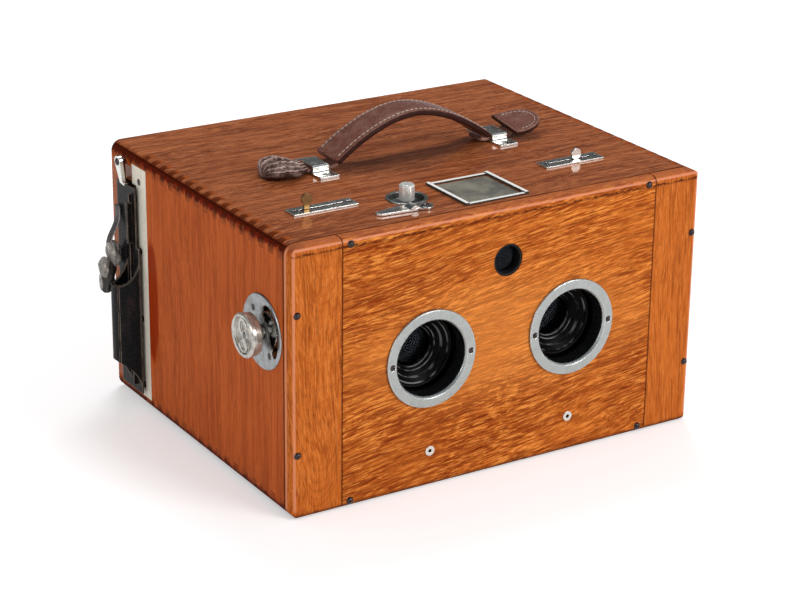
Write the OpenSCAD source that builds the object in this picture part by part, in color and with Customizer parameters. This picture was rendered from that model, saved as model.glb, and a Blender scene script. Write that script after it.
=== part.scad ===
// Wooden stereo box camera for glass plates, with a magazine that slides in from the left.
// The origin is at the middle of the underside, +Z is up and the lenses look along -Y.
// Inside the modules Y is the depth behind the face of the front panel.

/* [Case] */
// Width of the wooden case
case_w = 240; // [232:1:300]
// Depth of the wooden case from front to back
case_d = 192; // [184:1:240]
// Height of the wooden case
case_h = 140; // [136:1:170]
// Thickness of the mahogany boards
board_t = 8; // [7:0.5:9]
// Radius of the four long edges of the case
edge_r = 5.5; // [2:0.5:7]
// Fingers along each jointed edge, an odd number
finger_count = 39; // [21:2:45]
// Thickness of the back board
rear_t = 10; // [8:0.5:12]
// Width of the magazine slot from front to back
slot_w = 19; // [18:0.5:22]

/* [Front panel] */
// Thickness of the front panel
panel_t = 7.2; // [6:0.2:8]
// Radius of the panel's outer edges
panel_r = 3; // [1:0.5:4]
// Width of each upright end piece
panel_end_w = 28; // [24:1:32]
// Distance of the panel screws from the edge
screw_inset = 3.4; // [3:0.1:4]
// Distance of the top and bottom screws from the end piece joints
screw_from_joint = 4.5; // [3:0.5:6]
// Height of the upper side screws above the middle
screw_side_z = 36; // [30:1:45]
// Radius of the small eyelets under the lenses
eyelet_r = 2.6; // [2:0.1:3]
// Height of the eyelets above the underside
eyelet_z = 19.5; // [16:0.5:24]

/* [Lenses] */
// Distance between the two lens axes
lens_spacing = 83.5; // [81:0.5:86]
// Distance of the lens axes below the top of the case
lens_drop = 71; // [69:0.5:73]
// Outer radius of the nickel ring
ring_r = 25.5; // [24:0.5:27]
// Inner radius of the nickel ring
ring_in_r = 19.7; // [19.4:0.1:20.2]
// How far the ring stands proud of the panel
ring_t = 1.4; // [1:0.1:2]
// Radius of the lens hood
hood_r = 18.7; // [18:0.1:19]
// Depth of the hood's front edge behind the panel face
hood_depth = 10.5; // [10:0.1:11.5]
// Radius of the step inside the hood
hood_step_r = 14.8; // [14:0.1:15.5]
// Radius of the front glass
glass_r = 10.7; // [10:0.1:11.5]
// Depth of the front glass behind the hood's front edge
glass_drop = 7.8; // [7:0.1:8.4]
// Radius of the lens barrel behind the lens board
barrel_r = 13; // [12.5:0.1:14]
// Thickness of the sliding lens board
lens_board_t = 6; // [5:0.5:6.5]

/* [Shutter] */
// Radius of the openings in the shutter plate
port_r = 9; // [8:0.1:9.5]
// Thickness of the shutter plate
shutter_t = 1; // [0.8:0.1:1.2]
// Thickness of the fixed shutter board
shutter_board_t = 3.6; // [3:0.2:5]
// Tooth module of the rack and pinion
gear_module = 0.8; // [0.7:0.05:0.85]
// Teeth on the pinion
pinion_teeth = 18; // [16:1:19]
// Radius of the winding shaft
shaft_r = 2.5; // [2:0.1:3]
// Teeth on the ratchet wheel
ratchet_teeth = 24; // [16:1:28]
// Outer radius of the ratchet wheel
ratchet_r = 9.5; // [9:0.1:10]
// Radius of the mainspring barrel
barrel_cup_r = 10.4; // [9.6:0.2:10.6]
// Coils of the mainspring
spring_coils = 4; // [2:1:5]

/* [Winding knob] */
// Depth of the winding axis behind the panel face
dial_y = 27.5; // [26.5:0.1:28.5]
// Distance of the winding axis below the top of the case
dial_drop = 50.5; // [49.5:0.1:51.5]
// Radius of the round nickel plate on the side
dial_plate_r = 19; // [18:0.2:20]
// Radius of the knob's face
knob_r = 11.2; // [10:0.2:12]
// Height of the knob above the nickel plate
knob_h = 10.6; // [9:0.2:13]
// Outer radius of the crescent window
window_r = 16.8; // [16.4:0.1:17]

/* [Stops and focus] */
// Depth of the two slotted plates behind the panel face
slot_plate_y = 43; // [42.6:0.1:43.4]
// Length of a slotted plate
slot_plate_l = 36; // [35:0.5:40]
// Width of a slotted plate
slot_plate_w = 9.5; // [8:0.5:11]
// Centre of the left slotted plate from the middle
stop_plate_x = -78.5; // [-80:0.5:-77]
// Centre of the right slotted plate from the middle
focus_plate_x = 69; // [67:0.5:71]
// Height of the stop tab above the case
stop_tab_h = 9; // [7:0.5:11]
// Height of the focus tab above the case
focus_tab_h = 6.5; // [5:0.5:9]
// Forward slope of the focusing slot
focus_slope = 0.2; // [0.1:0.01:0.22]

/* [Finder] */
// Centre of the finder from the middle
finder_x = 2.5; // [0:0.5:5]
// Height of the finder lens below the top of the case
finder_drop = 28; // [27:0.5:29]
// Radius of the finder lens
finder_r = 7.4; // [6.5:0.1:8]
// Outer side of the square nickel frame
frame_w = 37; // [36:0.5:38.5]
// Width of the frame's strips
frame_strip = 2; // [1.6:0.1:2.4]
// Depth of the frame's middle behind the panel face
frame_y = 29.2; // [28.8:0.1:29.8]

/* [Release] */
// Distance of the release knob left of the middle
release_x = -35; // [-37:0.5:-33]
// Depth of the release knob behind the panel face
release_y = 35; // [34:0.2:35.6]
// Radius of the release knob
release_r = 3.9; // [3.5:0.1:4.3]
// Height of the release knob above the case
release_h = 7.5; // [5:0.5:8]
// Travel of the release knob
release_travel = 2.2; // [1.8:0.1:2.4]
// Outer radius of the release cup
cup_r = 10.6; // [10:0.1:11]
// Depth of the release cup
cup_depth = 3.6; // [3.2:0.1:4]
// Length of the time catch from its screw to its tip
catch_l = 27; // [24:0.5:28]

/* [Handle] */
// Middle of the handle from the middle of the case
handle_x = 2; // [-2:0.5:4]
// Depth of the handle behind the panel face
handle_y = 96.5; // [92:0.5:100]
// Distance of each loop from the middle of the handle
loop_x = 54.3; // [52:0.1:58]
// Width of the leather grip
grip_w = 22; // [19:0.5:24]
// Thickness of the leather grip
grip_t = 3.4; // [3:0.1:4.6]
// Rise of the grip above its ends
grip_rise = 19.6; // [14:0.2:24]
// Width of the loops' feet along the handle
loop_w = 11; // [9.5:0.5:12]
// How much narrower the loops are above their feet
loop_waist = 1.8; // [0.4:0.2:2.4]
// Thickness of the loops' nickel strip
loop_t = 1.2; // [1:0.1:1.4]
// Thickness of the leather neck in the loops
neck_t = 2.8; // [2.2:0.1:3.2]
// Length of the leather end tabs
tab_l = 22; // [18:0.5:25]

/* [Magazine] */
// Width of the nickel edge plate beside the slot
edge_plate_w = 11.2; // [10:0.2:13]
// Thickness of the edge plate
edge_plate_t = 1; // [0.8:0.1:1.4]
// Thickness of the magazine's sheet metal
mag_wall = 1; // [0.8:0.1:1.2]
// Width of the glass plates
plate_w = 180; // [160:1:190]
// Height of the glass plates
plate_h = 90; // [80:1:95]
// Plates in the magazine
plate_count = 6; // [2:1:6]
// Height of the guide over the magazine
guide_h = 9.4; // [8:0.2:12]
// Width of the magazine's outer end flange
mag_flange_w = 24; // [23:0.5:25]
// Length of the latch hook from its pivot
hook_l = 10.6; // [8:0.2:10.8]
// How far the rounded guard stands out from the side
guard_out = 12.5; // [11:0.5:14]
// How far the folded bag stands out from the side
bag_out = 14; // [12.5:0.5:16]

/* [Hidden] */
$fn = 48;

// Clearances: a seat that is glued or screwed, a sliding fit and a turning fit
seat = 0.05;
slide_gap = 0.3;
turn_gap = 0.05;
dial_plate_t = 0.9;
slot_plate_t = 0.9;

// Countersunk screws: head radius, head thickness, shank radius and length
ring_screw = [1.6, 0.8, 0.8, 6];
cage_screw = [1.8, 0.6, 0.9, 4];
slot_screw = [1.8, 0.7, 1, 7];
loop_screw = [2, 0.8, 1.1, 8];
edge_screw = [1.9, 0.8, 0.9, 6];

// Round-headed screws: head radius, head height, shank radius and length
panel_screw = [1.9, 1.3, 1.2, 14];
catch_screw = [2.2, 0.9, 1.2, 7.5];
hook_screw = [2, 0.9, 1.2, 9];
centre_screw = [2, 0.9, 1.2, 4];

// Faces of the case
left_x = -case_w / 2;
right_x = case_w / 2;
in_left = left_x + board_t;
in_right = right_x - board_t;
in_top = case_h - board_t;
slot_y1 = case_d - rear_t;
slot_y0 = slot_y1 - slot_w;
joint_x = case_w / 2 - panel_end_w;
finger_l = (case_d - panel_t) / finger_count;
leather_z = case_h + slide_gap;
lens_z = case_h - lens_drop;
dial_z = case_h - dial_drop;

// Gear
pitch_r = gear_module * pinion_teeth / 2;
pressure_angle = 20;
backlash = 0.12;

// Depths of the optical parts
flange_t = 2;
ring_tube_t = 1.2;
eyelet_tube_r = eyelet_r - 0.6;
eyelet_l = 5.8;
lens_seat_y = hood_depth + glass_drop + 3.7;
lens_board_z1 = lens_z + 43;
lens_board_w = lens_spacing + 56;
shutter_y = dial_y + pitch_r + gear_module * 1.25 + 1.3;
shutter_board_y = shutter_y + shutter_t + 0.4;
stop_t = 0.8;

// Shutter travel, from covered below the opening to covered above it
exit_r = port_r - 1;
shutter_travel = 2 * (port_r + exit_r + 1);
port_rest_z = lens_z - shutter_travel / 2;
rack_y = dial_y + pitch_r;
rack_w = 7;
bracket_t = 3;
rack_x = -lens_board_w / 2 - slide_gap - 2.95 - bracket_t - 2 - rack_w;
rack_z0 = dial_z - shutter_travel - 4.5;
rack_z1 = dial_z + 3;
rail_reach = 2.5;

// The mainspring's barrel takes a quarter of the room between the left board and the rack
spring_x0 = in_left + 4.5;
spring_x1 = spring_x0 + (rack_x - in_left - 1) / 4;
arm_h = 14;
lobe_r = port_r + 6;

// Guide rods of the lens board
rod_x = lens_board_w / 2 - 8;
rod_r = 2;
rod_z_low = board_t + 7;
rod_z_high = lens_board_z1 - 6;

// Lever in front of the release
catch_pivot = [release_x + 0.4, release_y - 16.5];
catch_z = case_h + 0.2;
catch_t = 1.2;
knob_x = left_x - dial_plate_t;

// Trip shaft, over the lens board and under the top board
trip_y = release_y - 15;
trip_z = in_top - 8;
trip_r = 2;
pin_r = 0.9;
pin_reach = ratchet_r + pin_r + slide_gap;
pin_y = dial_y + pin_reach * cos(160);
pin_z = dial_z + pin_reach * sin(160);
release_stem_r = 2;
cup_lip = 1;
cup_floor_t = 0.9;

// Tabs, slots and the focusing pin
tab_neck = 3;
stop_tab_x = stop_plate_x - 8.5;
focus_tab_x = focus_plate_x + 3.5;
slot_half = slot_plate_l / 2 - 7;
stop_steps = [0, 12.5, 19];
stop_radii = [7.5, 3.5, 1.8];
stop_half = stop_radii[0] + 3.5;
focus_pin_x = rod_x;
focus_pin_r = 1.6;
cam_z = in_top - 4.5;
cam_t = 1.6;
cam_reach = slot_half + 4;
cam_x0 = focus_pin_x - cam_reach - 4;
cam_x1 = focus_pin_x + cam_reach + 4;

// Finder
box_half = frame_w / 2 - 2.5;
box_wall = 1.2;
box_y1 = frame_y + box_half + 2;
finder_z = case_h - finder_drop;
box_z0 = finder_z - box_half;
finder_tube_r = finder_r + 1;
glass_z = case_h - 2;

// Handle
grip_half = loop_x - loop_w / 2 - 2.95;
loop_half = 7.6;
loop_h = neck_t + loop_t + 2 * slide_gap;
loop_foot = 9;
tab_x = loop_x + loop_w / 2 + 2.25;
tab_lift = 4.6;

// Magazine
edge_plate_z0 = edge_r + 0.5;
edge_plate_z1 = case_h - edge_r - 0.5;
edge_ear_w = 5;
mag_y0 = slot_y0 + slide_gap;
mag_y1 = slot_y1 - slide_gap;
mag_z0 = board_t + slide_gap;
mag_z1 = in_top - guide_h - slide_gap;
mag_x1 = in_right - 3;
flange_y1 = mag_y1 - 0.2;
slit_y0 = mag_y0 + 1;
plates_y = mag_y0 + 2.6;
sheath_t = 1.7;
flange_x = left_x - edge_plate_t - 0.6;
hook_y = slot_y0 + 13;
hook_z = in_top + 1.4;
plates_z = lens_z + 1;
guard_r = mag_flange_w / 2;
guard_y1 = flange_y1 - guard_r + 2.5;
hook_x0 = flange_x - 2.8;

wood_red = "#8a4a2b";
wood_orange = "#b5652e";
nickel = "#c9c5bb";
black = "#1a1a1c";
brass = "#b08d4f";
leather = "#4a2a20";

// Places its children with Y measured from the front face
module from_front() translate([0, -case_d / 2, 0]) children();

// Box between two corners
module block(x0, x1, y0, y1, z0, z1) {
    translate([x0, y0, z0]) cube([x1 - x0, y1 - y0, z1 - z0]);
}

// Round bars along each axis
module bar_x(x0, x1, y, z, r) translate([x0, y, z]) rotate([0, 90, 0]) cylinder(r = r, h = x1 - x0);
module bar_y(x, y0, y1, z, r) translate([x, y0, z]) rotate([-90, 0, 0]) cylinder(r = r, h = y1 - y0);
module bar_z(x, y, z0, z1, r) translate([x, y, z0]) cylinder(r = r, h = z1 - z0);

// Flat outlines raised across the depth, the height or the width
module raise_y(y0, y1) translate([0, y1, 0]) rotate([90, 0, 0]) linear_extrude(y1 - y0) children();
module raise_z(z0, z1) translate([0, 0, z0]) linear_extrude(z1 - z0) children();
module raise_x(x0, x1) translate([x0, 0, 0]) rotate([90, 0, 90]) linear_extrude(x1 - x0) children();

// Profiles turned about an axis that runs back from the front, or in from the left
module turn_y(x, y, z) translate([x, y, z]) rotate([-90, 0, 0]) rotate_extrude() children();
module turn_x(x, y, z) translate([x, y, z]) rotate([0, 90, 0]) rotate_extrude() children();

// Rectangle with four round corners
module round_rect(x0, x1, y0, y1, r) {
    translate([x0 + r, y0]) square([x1 - x0 - 2 * r, y1 - y0]);
    translate([x0, y0 + r]) square([x1 - x0, y1 - y0 - 2 * r]);
    for (x = [x0 + r, x1 - r], y = [y0 + r, y1 - r]) translate([x, y]) circle(r);
}

// Ring sector between two radii and two angles
module ring_sector(r0, r1, a0, a1) {
    steps = 12;
    outer = [for (i = [0:steps]) let (a = a0 + (a1 - a0) * i / steps) [r1 * cos(a), r1 * sin(a)]];
    inner = [for (i = [steps:-1:0]) let (a = a0 + (a1 - a0) * i / steps) [r0 * cos(a), r0 * sin(a)]];
    polygon(concat(outer, inner));
}

// Slotted screw with a domed head standing on z = 0
module round_screw(size) {
    head_r = size[0];
    head_h = size[1];
    dome_r = (head_r * head_r + head_h * head_h) / (2 * head_h);
    difference() {
        intersection() {
            translate([0, 0, head_h - dome_r]) sphere(dome_r);
            cylinder(r = head_r, h = head_h);
        }
        translate([-head_r, -0.25, head_h * 0.45]) cube([2 * head_r, 0.5, head_h]);
    }
    translate([0, 0, -size[3]]) cylinder(r = size[2], h = size[3] + 0.01);
}

// Slotted countersunk screw with its head's face at z = 0
module flat_screw(size) {
    difference() {
        translate([0, 0, -size[1]]) cylinder(r1 = size[2], r2 = size[0], h = size[1]);
        translate([-size[0], -0.3, -0.5]) cube([2 * size[0], 0.6, 1]);
    }
    translate([0, 0, -size[3]]) cylinder(r = size[2], h = size[3] - size[1] + 0.01);
}

// Hole for a countersunk screw
module flat_screw_hole(size) {
    head_t = size[1] + seat;
    translate([0, 0, -head_t]) cylinder(r1 = size[2] + seat, r2 = size[0] + seat, h = head_t);
    translate([0, 0, -size[3] - 0.5]) cylinder(r = size[2] + seat, h = size[3]);
    cylinder(r = size[0] + seat, h = 0.5);
}

// Length of case with its four long edges rounded
module case_shape(y0, y1) raise_y(y0, y1) round_rect(left_x, right_x, 0, case_h, edge_r);

// Fingers of a side board, which stand in the slots of the top and bottom
module side_fingers(x0, x1, y1) {
    for (i = [1:2:finger_count - 2]) {
        f0 = panel_t + i * finger_l;
        if (f0 < y1) block(x0, x1, f0, min(f0 + finger_l, y1), 0, case_h);
    }
}

// Side board up to a depth, with its fingers
module side_board(x0, x1, y1) {
    intersection() {
        case_shape(panel_t, y1);
        union() {
            block(x0, x1, panel_t, y1, board_t, in_top);
            side_fingers(x0, x1, y1);
        }
    }
}

// Top or bottom board, cut for the side boards' fingers
module wide_board(z0, z1) {
    difference() {
        intersection() {
            case_shape(panel_t, case_d);
            block(left_x, right_x, panel_t, case_d, z0, z1);
        }
        side_fingers(left_x - 1, in_left, slot_y0);
        side_fingers(in_right, right_x + 1, slot_y1);
    }
}

// Rebate for the edge plate and its ear
module edge_rebate() {
    block(left_x - 1, left_x + edge_plate_t, slot_y0 - edge_plate_w, slot_y0 + 0.2,
          edge_plate_z0 - seat, edge_plate_z1 + seat);
    block(left_x - 1, left_x + edge_plate_t, slot_y0, slot_y0 + edge_ear_w + seat,
          in_top - 1, edge_plate_z1 + seat);
}

// Centres of the panel screws as x and z
panel_screw_places = [
    for (x = [-1, 1], z = [screw_inset, case_h - screw_inset]) [x * (joint_x - screw_from_joint), z],
    for (x = [-1, 1], z = [-1, 1]) [x * (case_w / 2 - screw_inset), case_h / 2 + z * screw_side_z]
];

module panel_screw_holes() {
    for (p = panel_screw_places) bar_y(p[0], -1, panel_screw[3] + 0.5, p[1], panel_screw[2] + seat);
}

// Places of the screws and tabs on the slotted plates
module at_slot_plates() {
    for (x = [stop_plate_x, focus_plate_x]) translate([x, slot_plate_y, 0]) children();
}

module slot_plate_screw_places() {
    for (x = [-1, 1]) translate([x * (slot_plate_l / 2 - 3), 0, 0]) children();
}

module loop_places() for (s = [-1, 1]) translate([handle_x + s * loop_x, handle_y, case_h]) children();

module loop_screw_places() {
    for (s = [-1, 1]) translate([0, s * (loop_half + loop_foot / 2 + 0.4), loop_t]) children();
}

module top_board() {
    color(wood_red) from_front() difference() {
        wide_board(in_top, case_h);
        panel_screw_holes();
        // Finder window with a seat for the ground glass
        block(finder_x - box_half + 2, finder_x + box_half - 2,
              frame_y - box_half + 2, frame_y + box_half - 2, in_top - 1, case_h + 1);
        block(finder_x - box_half - seat, finder_x + box_half + seat,
              frame_y - box_half - seat, frame_y + box_half + seat, glass_z, case_h + 1);
        // Cup and stem of the release
        bar_z(release_x, release_y, case_h - cup_depth - cup_floor_t - seat, case_h + 1,
              cup_r - cup_lip + seat);
        bar_z(release_x, release_y, in_top - 1, case_h, release_stem_r + 1);
        bar_z(catch_pivot[0], catch_pivot[1], in_top + 1, case_h + 1, catch_screw[2] + seat);
        at_slot_plates() {
            block(-slot_half - 1.5, slot_half + 1.5, -1.2, 1.2, in_top - 1, case_h + 1);
            slot_plate_screw_places() bar_z(0, 0, in_top + 1, case_h + 1, slot_screw[2] + seat);
        }
        loop_places() loop_screw_places() bar_z(0, 0, -loop_screw[3], 1, loop_screw[2] + seat);
        bar_x(left_x - 1, left_x + 6.5, hook_y, hook_z, hook_screw[2] + seat);
        edge_rebate();
    }
}

module bottom_board() {
    color(wood_red) from_front() difference() {
        wide_board(0, board_t);
        panel_screw_holes();
        edge_rebate();
    }
}

module left_board() {
    color(wood_orange) from_front() difference() {
        side_board(left_x, in_left, slot_y0);
        panel_screw_holes();
        // Opening for the ratchet and its cage
        bar_x(left_x - 1, in_left + 1, dial_y, dial_z, window_r + 0.5);
        edge_rebate();
        edge_plate_screw_places() rotate([0, -90, 0]) flat_screw_hole(edge_screw);
    }
}

module right_board() {
    color(wood_orange) from_front() difference() {
        side_board(in_right, right_x, slot_y1);
        panel_screw_holes();
    }
}

module rear_board() {
    color(wood_orange) from_front() block(left_x, right_x, slot_y1, case_d, board_t, in_top);
}

// Panel with all its outer edges rounded
module panel_shape() {
    intersection() {
        case_shape(0, panel_t);
        raise_z(0, case_h) front_rounded(left_x, right_x);
        raise_x(left_x, right_x) mirror([1, -1]) front_rounded(0, case_h);
    }
}

// Strip of the panel's thickness with rounded corners, larger ones at y = 0
module front_rounded(a, b) {
    rear_r = 0.8;
    translate([a, panel_r]) square([b - a, panel_t - panel_r - rear_r]);
    translate([a + rear_r, panel_r]) square([b - a - 2 * rear_r, panel_t - panel_r]);
    translate([a + panel_r, 0]) square([b - a - 2 * panel_r, panel_r]);
    for (x = [a + panel_r, b - panel_r]) translate([x, panel_r]) circle(panel_r);
    for (x = [a + rear_r, b - rear_r]) translate([x, panel_t - rear_r]) circle(rear_r);
}

module front_panel() {
    color(wood_orange) from_front() difference() {
        intersection() {
            panel_shape();
            block(-joint_x, joint_x, 0, panel_t, 0, case_h);
        }
        panel_screw_holes();
        at_lenses() bar_y(0, -1, panel_t + 1, 0, ring_in_r + ring_tube_t + seat);
        at_lenses() ring_screw_places() bar_y(0, -1, ring_screw[3], 0, ring_screw[2] + seat);
        for (s = [-1, 1]) bar_y(s * lens_spacing / 2, -1, eyelet_l + 0.2, eyelet_z, eyelet_tube_r + seat);
        bar_y(finder_x, -1, panel_t + 1, finder_z, finder_tube_r + seat);
    }
}

module front_end_pieces() {
    color("#a85c2a") from_front() difference() {
        intersection() {
            panel_shape();
            union() {
                block(left_x, -joint_x, 0, panel_t, 0, case_h);
                block(joint_x, right_x, 0, panel_t, 0, case_h);
            }
        }
        panel_screw_holes();
    }
}

module panel_screws() {
    color(black) from_front() for (p = panel_screw_places) {
        translate([p[0], 0, p[1]]) rotate([90, 0, 0]) round_screw(panel_screw);
    }
}

module eyelets() {
    color(nickel) from_front() for (s = [-1, 1]) turn_y(s * lens_spacing / 2, 0, eyelet_z) {
        translate([1, -0.6]) square([eyelet_r - 1, 0.6]);
        translate([1, -0.6]) square([eyelet_tube_r - 1, 0.6 + eyelet_l]);
    }
}

module at_lenses() for (s = [-1, 1]) translate([s * lens_spacing / 2, 0, lens_z]) children();

module ring_screw_places() {
    for (s = [-1, 1]) translate([s * (ring_in_r + ring_r) / 2, 0, 0]) children();
}

// Nickel ring with a bevelled mouth and a tube that lines the hole in the panel
module lens_ring(side) {
    color(nickel) from_front() translate([side * lens_spacing / 2, 0, lens_z]) difference() {
        turn_y(0, 0, 0) polygon([
            [ring_in_r + 1, -ring_t], [ring_r - 0.4, -ring_t], [ring_r, 0.4 - ring_t], [ring_r, 0],
            [ring_in_r + ring_tube_t, 0], [ring_in_r + ring_tube_t, panel_t + 1], [ring_in_r, panel_t + 1],
            [ring_in_r, 1 - ring_t]
        ]);
        ring_screw_places() rotate([90, 0, 0]) translate([0, 0, ring_t - 0.5])
            flat_screw_hole(ring_screw);
    }
}

module lens_ring_left() lens_ring(-1);
module lens_ring_right() lens_ring(1);

module ring_screws() {
    color(black) from_front() at_lenses() ring_screw_places() rotate([90, 0, 0])
        translate([0, 0, ring_t - 0.5]) flat_screw(ring_screw);
}

// Lens mount: a stepped hood in front of the board, a seating flange and a plain rear tube
module lens_barrel(side) {
    y0 = hood_depth;
    glass_y = y0 + glass_drop;
    board_y = lens_seat_y;
    rear_y = board_y + lens_board_t + 5;
    color(black) from_front() turn_y(side * lens_spacing / 2, 0, lens_z) polygon([
        [hood_r - 0.5, y0], [hood_r, y0 + 0.5], [hood_r, y0 + 4], [hood_r - 1.6, y0 + 4],
        [hood_r - 1.6, board_y - flange_t], [barrel_r + 8, board_y - flange_t],
        [barrel_r + 8, board_y], [barrel_r, board_y], [barrel_r, rear_y], [exit_r + 2, rear_y],
        [exit_r + 2, rear_y - 3], [glass_r - 1.4, rear_y - 3], [glass_r - 1.4, glass_y + 3],
        [glass_r, glass_y + 3], [glass_r, glass_y - 0.6], [glass_r + 0.7, glass_y - 1.4],
        [hood_step_r - 1, y0 + 4.6], [hood_step_r, y0 + 4.2], [hood_step_r, y0 + 3],
        [hood_r - 1.6, y0 + 1.6], [hood_r - 1.1, y0 + 0.4]
    ]);
}

module lens_barrel_left() lens_barrel(-1);
module lens_barrel_right() lens_barrel(1);

// Half outline of a lens that is flat at z = 0 and domed above its edge
module lens_outline(r, edge_t, bulge) {
    ball_r = (r * r + bulge * bulge) / (2 * bulge);
    full = asin(r / ball_r);
    dome = [for (i = [0:6]) let (a = full * (1 - i / 6))
        [ball_r * sin(a), edge_t + ball_r * (cos(a) - cos(full))]];
    polygon(concat([[0, 0], [r, 0]], dome));
}

// Front and rear glass of each lens
module lens_glasses() {
    front_y = hood_depth + glass_drop + 3;
    rear_y = lens_seat_y + lens_board_t + 2;
    color("#5b6a78") from_front() at_lenses() {
        translate([0, front_y, 0]) rotate([90, 0, 0]) rotate_extrude() lens_outline(glass_r, 3, 1.7);
        turn_y(0, rear_y, 0) lens_outline(exit_r + 2, 2, 0.9);
    }
}

// Board that carries both lenses and slides on four rods to focus
module lens_board() {
    y0 = lens_seat_y;
    y1 = y0 + lens_board_t;
    color(black) from_front() {
        difference() {
            block(-lens_board_w / 2, lens_board_w / 2, y0, y1, board_t + 1.5, lens_board_z1);
            at_lenses() bar_y(0, y0 - 1, y1 + 1, 0, barrel_r + seat);
            at_rods() bar_y(0, y0 - 1, y1 + 1, 0, rod_r + turn_gap);
            block(finder_x - box_half - 2, finder_x + box_half + 2, y0 - 1, y1 + 1,
                  box_z0 - 2, lens_board_z1 + 1);
        }
        // Pin that follows the focusing slot
        block(focus_pin_x - 3, focus_pin_x + 3, y0, y1, lens_board_z1, lens_board_z1 + 4);
        bar_z(focus_pin_x, y0 + lens_board_t / 2, lens_board_z1 + 3, cam_z + cam_t + 0.6, focus_pin_r);
    }
}

module at_rods() {
    for (x = [-1, 1], z = [rod_z_low, rod_z_high]) translate([x * rod_x, 0, z]) children();
}

module guide_rods() {
    color(nickel) from_front() at_rods() bar_y(0, lens_seat_y - 6, shutter_board_y, 0, rod_r);
}

// Partition behind the shutter, with one opening for each lens and a gate for the focusing cam
module shutter_board() {
    y0 = shutter_board_y;
    y1 = y0 + shutter_board_t;
    color(black) from_front() difference() {
        block(in_left, in_right, y0, y1, board_t, in_top);
        at_lenses() bar_y(0, y0 - 1, y1 + 1, 0, exit_r);
        block(finder_x - box_half - seat, finder_x + box_half + seat, y0 - 1, y1 + 1,
              box_z0 - seat, in_top + 1);
        block(max(cam_x0 - 15, finder_x + box_half + 1), min(cam_x1 + 8, in_right - 1),
              y0 - 1, y1 + 1, cam_z - 0.8, in_top + 1);
    }
}

// Outline of the falling plate at rest, with its ports below the lens axes
module shutter_outline() {
    lobe_z0 = port_rest_z - port_r - shutter_travel / 2;
    lobe_z1 = port_rest_z + shutter_travel / 2 + exit_r + 1;
    difference() {
        union() {
            for (s = [-1, 1]) {
                round_rect(s * lens_spacing / 2 - lobe_r, s * lens_spacing / 2 + lobe_r,
                           lobe_z0, lobe_z1, 2);
            }
            translate([-lens_spacing / 2, lobe_z0]) square([lens_spacing, 20]);
            translate([lens_spacing / 2, lobe_z0])
                square([lens_board_w / 2 - lens_spacing / 2, 20]);
            translate([rack_x - rail_reach, rack_z0])
                square([-lens_spacing / 2 - rack_x + rail_reach, arm_h]);
            translate([rack_x - rail_reach, rack_z0]) square([rack_w + rail_reach, rack_z1 - rack_z0]);
        }
        for (s = [-1, 1]) translate([s * lens_spacing / 2, port_rest_z]) circle(port_r);
    }
}

module shutter_plate() {
    color("#3b3b3f") from_front() raise_y(shutter_y, shutter_y + shutter_t) shutter_outline();
}

// Straight rack on the plate, its tooth gap facing the pinion's tooth at rest
module shutter_rack() {
    pitch = PI * gear_module;
    half_tip = pitch / 4 - gear_module * tan(pressure_angle) - backlash / 2;
    half_root = pitch / 4 + 1.25 * gear_module * tan(pressure_angle) - backlash / 2;
    tip_y = rack_y - gear_module;
    root_y = rack_y + 1.25 * gear_module;
    first = ceil((rack_z0 - dial_z) / pitch);
    last = floor((rack_z1 - dial_z) / pitch) - 1;
    teeth = [for (i = [first:last]) let (z = dial_z + (i + 0.5) * pitch) each [
        [root_y, z - half_root], [tip_y, z - half_tip], [tip_y, z + half_tip], [root_y, z + half_root]
    ]];
    color(brass) from_front() raise_x(rack_x, rack_x + rack_w) polygon(concat(
        [[shutter_y, rack_z0], [root_y, rack_z0]], teeth, [[root_y, rack_z1], [shutter_y, rack_z1]]));
}

// Grooved uprights that hold the two ends of the plate
module shutter_rails() {
    y0 = shutter_y - 1.4;
    z0 = board_t + 4;
    z1 = in_top - 2;
    right_z1 = lens_z + port_r + 8;
    gap = 0.15;
    color(brass) from_front() {
        difference() {
            block(rack_x - 6, rack_x - 0.6, y0, shutter_board_y, z0, z1);
            block(rack_x - rail_reach - gap, rack_x, shutter_y - gap, shutter_y + shutter_t + gap,
                  z0 - 1, z1 + 1);
        }
        difference() {
            block(lens_board_w / 2 - 2, lens_board_w / 2 + 3.5, y0, shutter_board_y, z0, right_z1);
            block(lens_board_w / 2 - 3, lens_board_w / 2 + gap, shutter_y - gap,
                  shutter_y + shutter_t + gap, z0 - 1, right_z1 + 1);
        }
    }
}

// Half the angle that a tooth fills at radius r, for an involute from the base circle
function involute(a) = tan(a) - a * PI / 180;
function tooth_half_angle(r, base_r) =
    90 / pinion_teeth + (involute(pressure_angle) - involute(acos(min(1, base_r / r)))) * 180 / PI
    - backlash / 2 / pitch_r * 180 / PI;

function pinion_flank(side) =
    let (base_r = pitch_r * cos(pressure_angle), root_r = pitch_r - 1.25 * gear_module)
    [for (r = [root_r, base_r, (base_r + pitch_r) / 2, pitch_r, pitch_r + gear_module])
        [r, side * tooth_half_angle(max(r, base_r), base_r)]];

module pinion() {
    low = pinion_flank(-1);
    high = pinion_flank(1);
    points = [for (i = [0:pinion_teeth - 1]) let (turn = i * 360 / pinion_teeth) each concat(
        [for (p = low) [p[0] * cos(turn + p[1]), p[0] * sin(turn + p[1])]],
        [for (k = [4:-1:0]) let (p = high[k]) [p[0] * cos(turn + p[1]), p[0] * sin(turn + p[1])]])];
    color(brass) from_front() translate([0, dial_y, dial_z]) raise_x(rack_x, rack_x + rack_w) difference() {
        polygon(points);
        circle(shaft_r);
    }
}

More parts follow.
